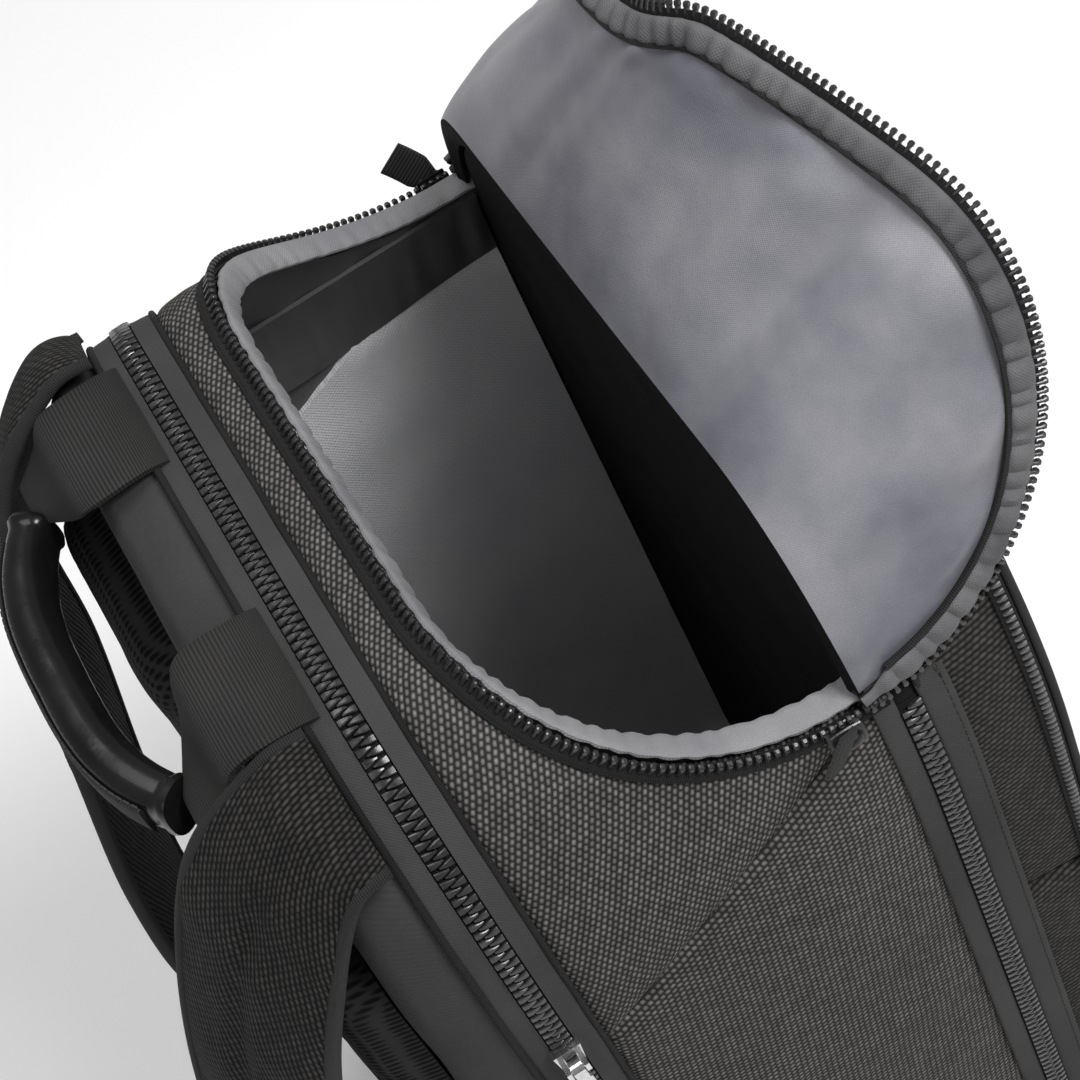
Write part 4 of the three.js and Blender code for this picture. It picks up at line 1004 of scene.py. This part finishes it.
share = np.linspace(-1, 1, 90)
upward = np.tile([0.0, 0.0, 1.0], (len(share), 1))
swell = 1 - 0.10 * np.abs(share) ** 4
lip = 1 + 0.16 * np.exp(-((np.abs(share) - 0.985) / 0.018) ** 2)
crease = 1 + 0.004 * waves(share * 66, 0 * share, 99, 14)
section = rounded(17.0, 22.0, 28, 2.5)[None] * (swell * lip * crease)[:, None, None]
make("handle_leather", ribbon(Shape(), handle_point(share), upward, section), LEATHER,
     ["handle_grip"])

centre = handle_point(np.linspace(-0.9, 0.9, 70))
aside, up = frames(centre, upward[:70])[1:]
section = rounded(2.0, 13.0, 14, 3.0) + [8.4, 0.0]
make("handle_underside", ribbon(Shape(), centre, upward[:70], section), WEBBING)
shape = Shape()
for z in (-8.0, 8.0):
    scatter(shape, STITCH, spaced(centre + aside * 8.3 + up * z, aside, 3.4))
make("handle_stitches", shape, THREAD)


def patch_rows(side):
    """The handle's webbing end, from its seam to the grip: place, height and half width of its rows."""
    end = handle_point(np.array(float(side)))
    rows = np.array([
        [60.5, Y_SEAM - 5.0, HEIGHT + 1.6, 24.5], [60.5, Y_SEAM + 4, HEIGHT + 3.6, 24.5],
        [60.5, 122.5, HEIGHT + 2.6, 24.0], [66.5, end[1] - 14, HEIGHT - 9.0, 19.0],
        [75.0, end[1] - 2.0, HEIGHT - 20.0, 9.0],
    ])
    share = np.linspace(0, 1, 34)
    return np.stack([smooth_row(rows[:, k], share) for k in range(4)], -1)


for name, side in SIDES:
    rows = patch_rows(side)
    u = row(-1, 1, 22)
    x = side * (rows[:, None, 0] + u * rows[:, None, 3])
    sag = -2.2 * np.abs(u) ** 2.5 * column(0.2, 1, len(rows))
    top = np.stack([x, rows[:, None, 1] + 0 * x, rows[:, None, 2] + sag], -1)
    normal = unit(np.cross(np.gradient(top, axis=1) * side, np.gradient(top, axis=0)))
    normal *= np.sign((normal * [0, 0.4, 1]).sum(-1).mean())
    plane = spread(x, np.cumsum(np.full(len(rows), 2.4))[:, None])
    thick = 1.0 + 0.9 * off_seam(distance_to(plane, border(plane)), 1.6)[..., None]
    make(f"handle_patch_{name}", slab(top + normal * thick, top - normal * thick, plane), WEBBING,
         [f"handle_web_{name}"])

# Shoulder straps
STRAP = np.array([
    [.595, .01, 1.012, .87, .01, .957, .5, 3, 0], [.595, .17, 1.01, .88, .14, .95, .7, 7, 0],
    [.57, .46, .962, .9, .31, .895, 1, 3, 0], [.53, .70, .85, .93, .52, .80, 1, 3, 0],
    [.50, .93, .69, .95, .70, .65, 1, 3, .09], [.49, 1.10, .5, .95, .86, .48, 1, 3, .09],
    [.52, 1.06, .33, .93, .90, .325, 1, 3, 0], [.63, .90, .215, .9, .83, .213, .7, 1, 0],
])


def strap_lines(share, side=-1):
    """Edges, thickness and crown of the left strap, or of the right one laid over its place."""
    c = [smooth_row(STRAP[:, k], share) for k in range(9)]
    fall = c[8] if side > 0 else 0.0
    inner = np.stack([-WIDTH / 2 * c[0], Y_SEAM + 106 * (c[1] - fall), HEIGHT * c[2]], -1)
    outer = np.stack([-WIDTH / 2 * c[3], Y_SEAM + 106 * (c[4] - fall), HEIGHT * c[5]], -1)
    return inner, outer, 10 * c[6], c[7]


def strap_surface(share, across, lift, side):
    """Place on a strap: share down it, across it from its inner edge, lift off its middle."""
    inner, outer, thick, crown = strap_lines(share, side)
    wide = outer - inner
    normal = unit(np.cross(np.gradient(inner + outer, axis=0), wide))
    bulge = crown[:, None] * (1 - np.abs(2 * across - 1) ** 1.5)
    return (inner[:, None] + wide[:, None] * across[None, :, None]
            + normal[:, None] * (bulge + lift)[..., None])


for name, side in SIDES:
    mirror = np.array([-side, 1, 1])
    share, across = np.linspace(0, 1, 150), np.linspace(0.02, 0.98, 32)
    inner, outer, thick, crown = strap_lines(share, side)
    length = arc_lengths((inner + outer) / 2)[:, None]
    plane = spread(across[None] * 58, length)
    d = distance_to(plane, border(plane))
    valley = 31 - 4 * np.sin(length / 60)
    fold = np.exp(-((plane[..., 0] - valley) / 4.0) ** 2) * np.clip(length / 60, 0, 1)
    half = thick[:, None] / 2 * (0.42 + 0.58 * off_seam(d, 7))
    puffed = half - 2.6 * fold + 0.6 * ripples(plane, 111, 34)
    front, back = (strap_surface(share, across, lift, side) * mirror for lift in (puffed, -half))
    piece = build(f"strap_pad_{name}", slab(front, back, turned(plane, 72)), WEAVE_STRAP)
    inflate(piece, np.tile(np.exp(-d.ravel() / 4), 2), 1.5, 2.0)
    settle(piece, [f"strap_{name}"])
    shape = Shape()
    ring = rounded(2.0, 2.0, 12, 2.4)[None]
    size = (thick / 2 * 0.42 + 1.1)[:, None, None]
    for at in (0.0, 1.0):
        line = strap_surface(share, np.array([at]), 0.0, side)[:, 0] * mirror
        wide = unit((outer - inner) * mirror) * (1 if at else -1)
        normals = unit(np.cross(np.gradient(line, axis=0), wide))
        loft(shape, line[:, None] + wide[:, None] * (ring[..., :1] * 2.4 - 1.0)
             + normals[:, None] * ring[..., 1:] * size)
    make(f"strap_edge_{name}", shape, EDGE)

# Lower webbing, adjusters and anchors
end_inner, end_outer = (v[-1] for v in strap_lines(np.array([0.0, 1.0]))[:2])
strap_end = (end_inner + end_outer) / 2
anchor_top = np.array([-HALF_BASE, Y_BACK + BACK_PAD, 52.5])
web_along = unit(anchor_top - strap_end)
web_across = unit(np.array([1.0, 0, 0]) - web_along * web_along[0])
web_normal = unit(np.cross(web_along, web_across))
web_length = np.linalg.norm(anchor_top - strap_end)


def lower(distance, across, lift, mirror):
    distance, across, lift = np.broadcast_arrays(distance, across, lift)
    return (strap_end + distance[..., None] * web_along + across[..., None] * web_across
            + lift[..., None] * web_normal) * mirror


for name, side in SIDES:
    mirror = np.array([-side, 1, 1])
    path = column(-12, web_length + 6, 60)
    ring = rounded(25.0, 2.0, 14, 6)[None]
    sag = 1.2 * np.sin(math.pi * np.clip(path / web_length, 0, 1))
    make(f"strap_webbing_{name}", loft(Shape(), lower(path, ring[..., 0], ring[..., 1] + sag, mirror)),
         WEBBING, [f"strap_web_{name}"])
    shape = Shape()
    bar = rounded(4.0, 6.4, 12, 3)[None]
    for across in (-15.0, 15.0):
        loft(shape, lower(column(7.5, 31.5, 12), across + bar[..., 0], bar[..., 1], mirror))
    bar = rounded(3.6, 5.0, 12, 3)[None]
    for start, lift in ((9.5, -0.4), (19.5, 1.6), (29.5, -0.4)):
        loft(shape, lower(start + bar[..., 0], column(-14, 14, 12), bar[..., 1] + lift, mirror))
    make(f"buckle_{name}", shape, PLASTIC, [f"strap_adjuster_{name}"])
    low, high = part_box(f"strap_anchor_{name}")
    low, high = np.array(low) / MM, np.array(high) / MM
    u, v = row(-1, 1, 20), column(0, 1, 16)
    half = (high[0] - low[0]) / 2 * (1 - 0.5 * v)
    x = (low[0] + high[0]) / 2 + u * half
    y = low[1] - 2.0 + (high[1] - low[1] + 2.0) * v
    z = low[2] + 1 + (high[2] - low[2] - 2) * v
    plane = spread(x, v * 12)
    bulk = (0.6 + 0.7 * off_seam(distance_to(plane, border(plane)), 1.5))[..., None]
    middle, bulk = spread(x, y, z), bulk * np.array([0, 0.75, -0.65])
    make(f"anchor_cloth_{name}", slab(middle - bulk, middle + bulk, plane * 2), WEBBING,
         [f"strap_anchor_{name}"])

# Sliders of the lid with woven pull tabs: stations (along, half width, low, high)
SLIDER_PROFILE = [(-6.5, 3.6, 0.9, 2.4), (-6.0, 4.4, 0.2, 3.2), (-2.0, 4.9, 0.0, 3.5), (3.0, 5.0, 0.0, 3.5),
                  (6.0, 4.6, 0.2, 3.2), (6.5, 3.8, 0.8, 2.4)]
SLIDER_SCALE = 0.9


def slider_shape(at, along, normal):
    """Two rounded plates with a bridge over them, as a moulded slider has."""
    aside = unit(np.cross(along, normal))
    shape = Shape()

    def place(a, c, h):
        return at + (a * along + c * aside + h * normal) * SLIDER_SCALE

    for low_h in (-2.6, 1.5):
        rings = [[place(a, y, low_h + z * 0.45) for y, z in rounded(2 * half, high - low, 12, 3.0) + [0, 1.7]]
                 for a, half, low, high in SLIDER_PROFILE]
        loft(shape, np.array(rings))
    rings = [[place(-(4.6 + b) * math.cos(t), a, 3.0 + (3.2 + b) * math.sin(t))
              for a, b in rounded(2.6, 1.5, 10, 2.6)] for t in np.linspace(0, math.pi, 16)]
    return loft(shape, np.array(rings))


for name, side in SIDES:
    s = side * (RIM_ARC + 3.7)
    at = bag(s, -38.5, 5.2)
    normal = bag_normal(np.array(s))
    make(f"lid_slider_{name}_metal", slider_shape(at, np.array([0.0, 1.0, 0.0]), normal), BLACK_METAL,
         [f"lid_slider_{name}"], sharp=HARD_EDGE)
    away = unit(np.array([side * 0.5, 0.55, 0.67]))
    aside = unit(np.cross(away, normal))
    up = unit(np.cross(aside, away))
    start = at + normal * 3.2 * SLIDER_SCALE
    u, v = row(-1, 1, 16), column(0, 1, 20)
    half = 4.6 + 2.8 * np.clip(v * 3, 0, 1)
    plane = spread(u * half, v * 17)
    curl = (1.3 * np.sin(v * 2.2) + 0 * u)[..., None]
    mid = start + away * plane[..., 1:] + aside * plane[..., :1] + up * curl
    thick = (0.7 + 0.7 * off_seam(distance_to(plane, border(plane)), 1.2))[..., None] * up
    make(f"lid_tab_{name}", slab(mid + thick, mid - thick, plane), WEBBING,
         [f"lid_pull_{name}"])

# The laptop zip's slider and hard pull keep their solids, with plated metal and softened edges
for name in ("laptop_slider", "laptop_pull"):
    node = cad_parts[name]
    node.data.materials.clear()
    node.data.materials.append(NICKEL)
    soften = node.modifiers.new("soften", "BEVEL")
    soften.width, soften.segments, soften.limit_method = 0.0005, 3, "ANGLE"

# Floor, light and camera
bpy.ops.mesh.primitive_plane_add(size=14, location=(0, 0, -0.0005))
floor = bpy.context.object
floor.name = "floor"
n = Nodes("floor_pale")
spot = n.noise(n.coordinates()[1], 3.0)
floor.data.materials.append(n.surface(Base_Color=n.mix(spot, grey(0.92), grey(0.95)), Roughness=0.9))

world = bpy.data.worlds.new("studio")
bpy.context.scene.world = world
world.use_nodes = True
world.node_tree.nodes["Background"].inputs[0].default_value = (1.0, 1.0, 1.0, 1.0)
world.node_tree.nodes["Background"].inputs[1].default_value = 0.3


def facing(x, y, z):
    """The turn of a thing whose own axes lie along x, y and z."""
    return Matrix(np.stack([x, y, z], 1).tolist()).to_euler()


def area_light(name, at, target, size, power):
    light = bpy.data.lights.new(name, "AREA")
    light.shape, light.size, light.energy = "SQUARE", size, power
    lamp = bpy.data.objects.new(name, light)
    bpy.context.scene.collection.objects.link(lamp)
    lamp.location = at
    z = unit(np.array(at) - np.array(target))
    x = unit(np.cross([0, 0, 1], z))
    lamp.rotation_euler = facing(x, np.cross(z, x), z)


area_light("key", (-0.8, -0.8, 2.0), (0, 0, 0.38), 0.7, 42)
area_light("fill", (-1.2, 1.3, 1.5), (0, 0, 0.35), 1.2, 7)
area_light("top", (0.6, 0.3, 2.3), (0, 0, 0.4), 1.2, 18)

AZIMUTH, ELEVATION, ROLL = math.radians(-95.2), math.radians(51.7), math.radians(-28.2)
back = np.array([math.sin(AZIMUTH) * math.cos(ELEVATION), -math.cos(AZIMUTH) * math.cos(ELEVATION),
                 math.sin(ELEVATION)])
right = unit(np.cross(-back, [0, 0, 1]))
above = np.cross(right, -back)
rolled = right * math.cos(ROLL) + above * math.sin(ROLL)
upright = -right * math.sin(ROLL) + above * math.cos(ROLL)
camera_data = bpy.data.cameras.new("camera")
camera_data.lens, camera_data.sensor_width = 94.4, 36
camera_data.clip_end = 50
camera = bpy.data.objects.new("camera", camera_data)
bpy.context.scene.collection.objects.link(camera)
camera.location = (-0.5988, 0.0569, 1.1504)
camera.rotation_euler = facing(rolled, upright, back)
bpy.context.scene.camera = camera
bpy.context.scene.view_settings.view_transform = "Standard"
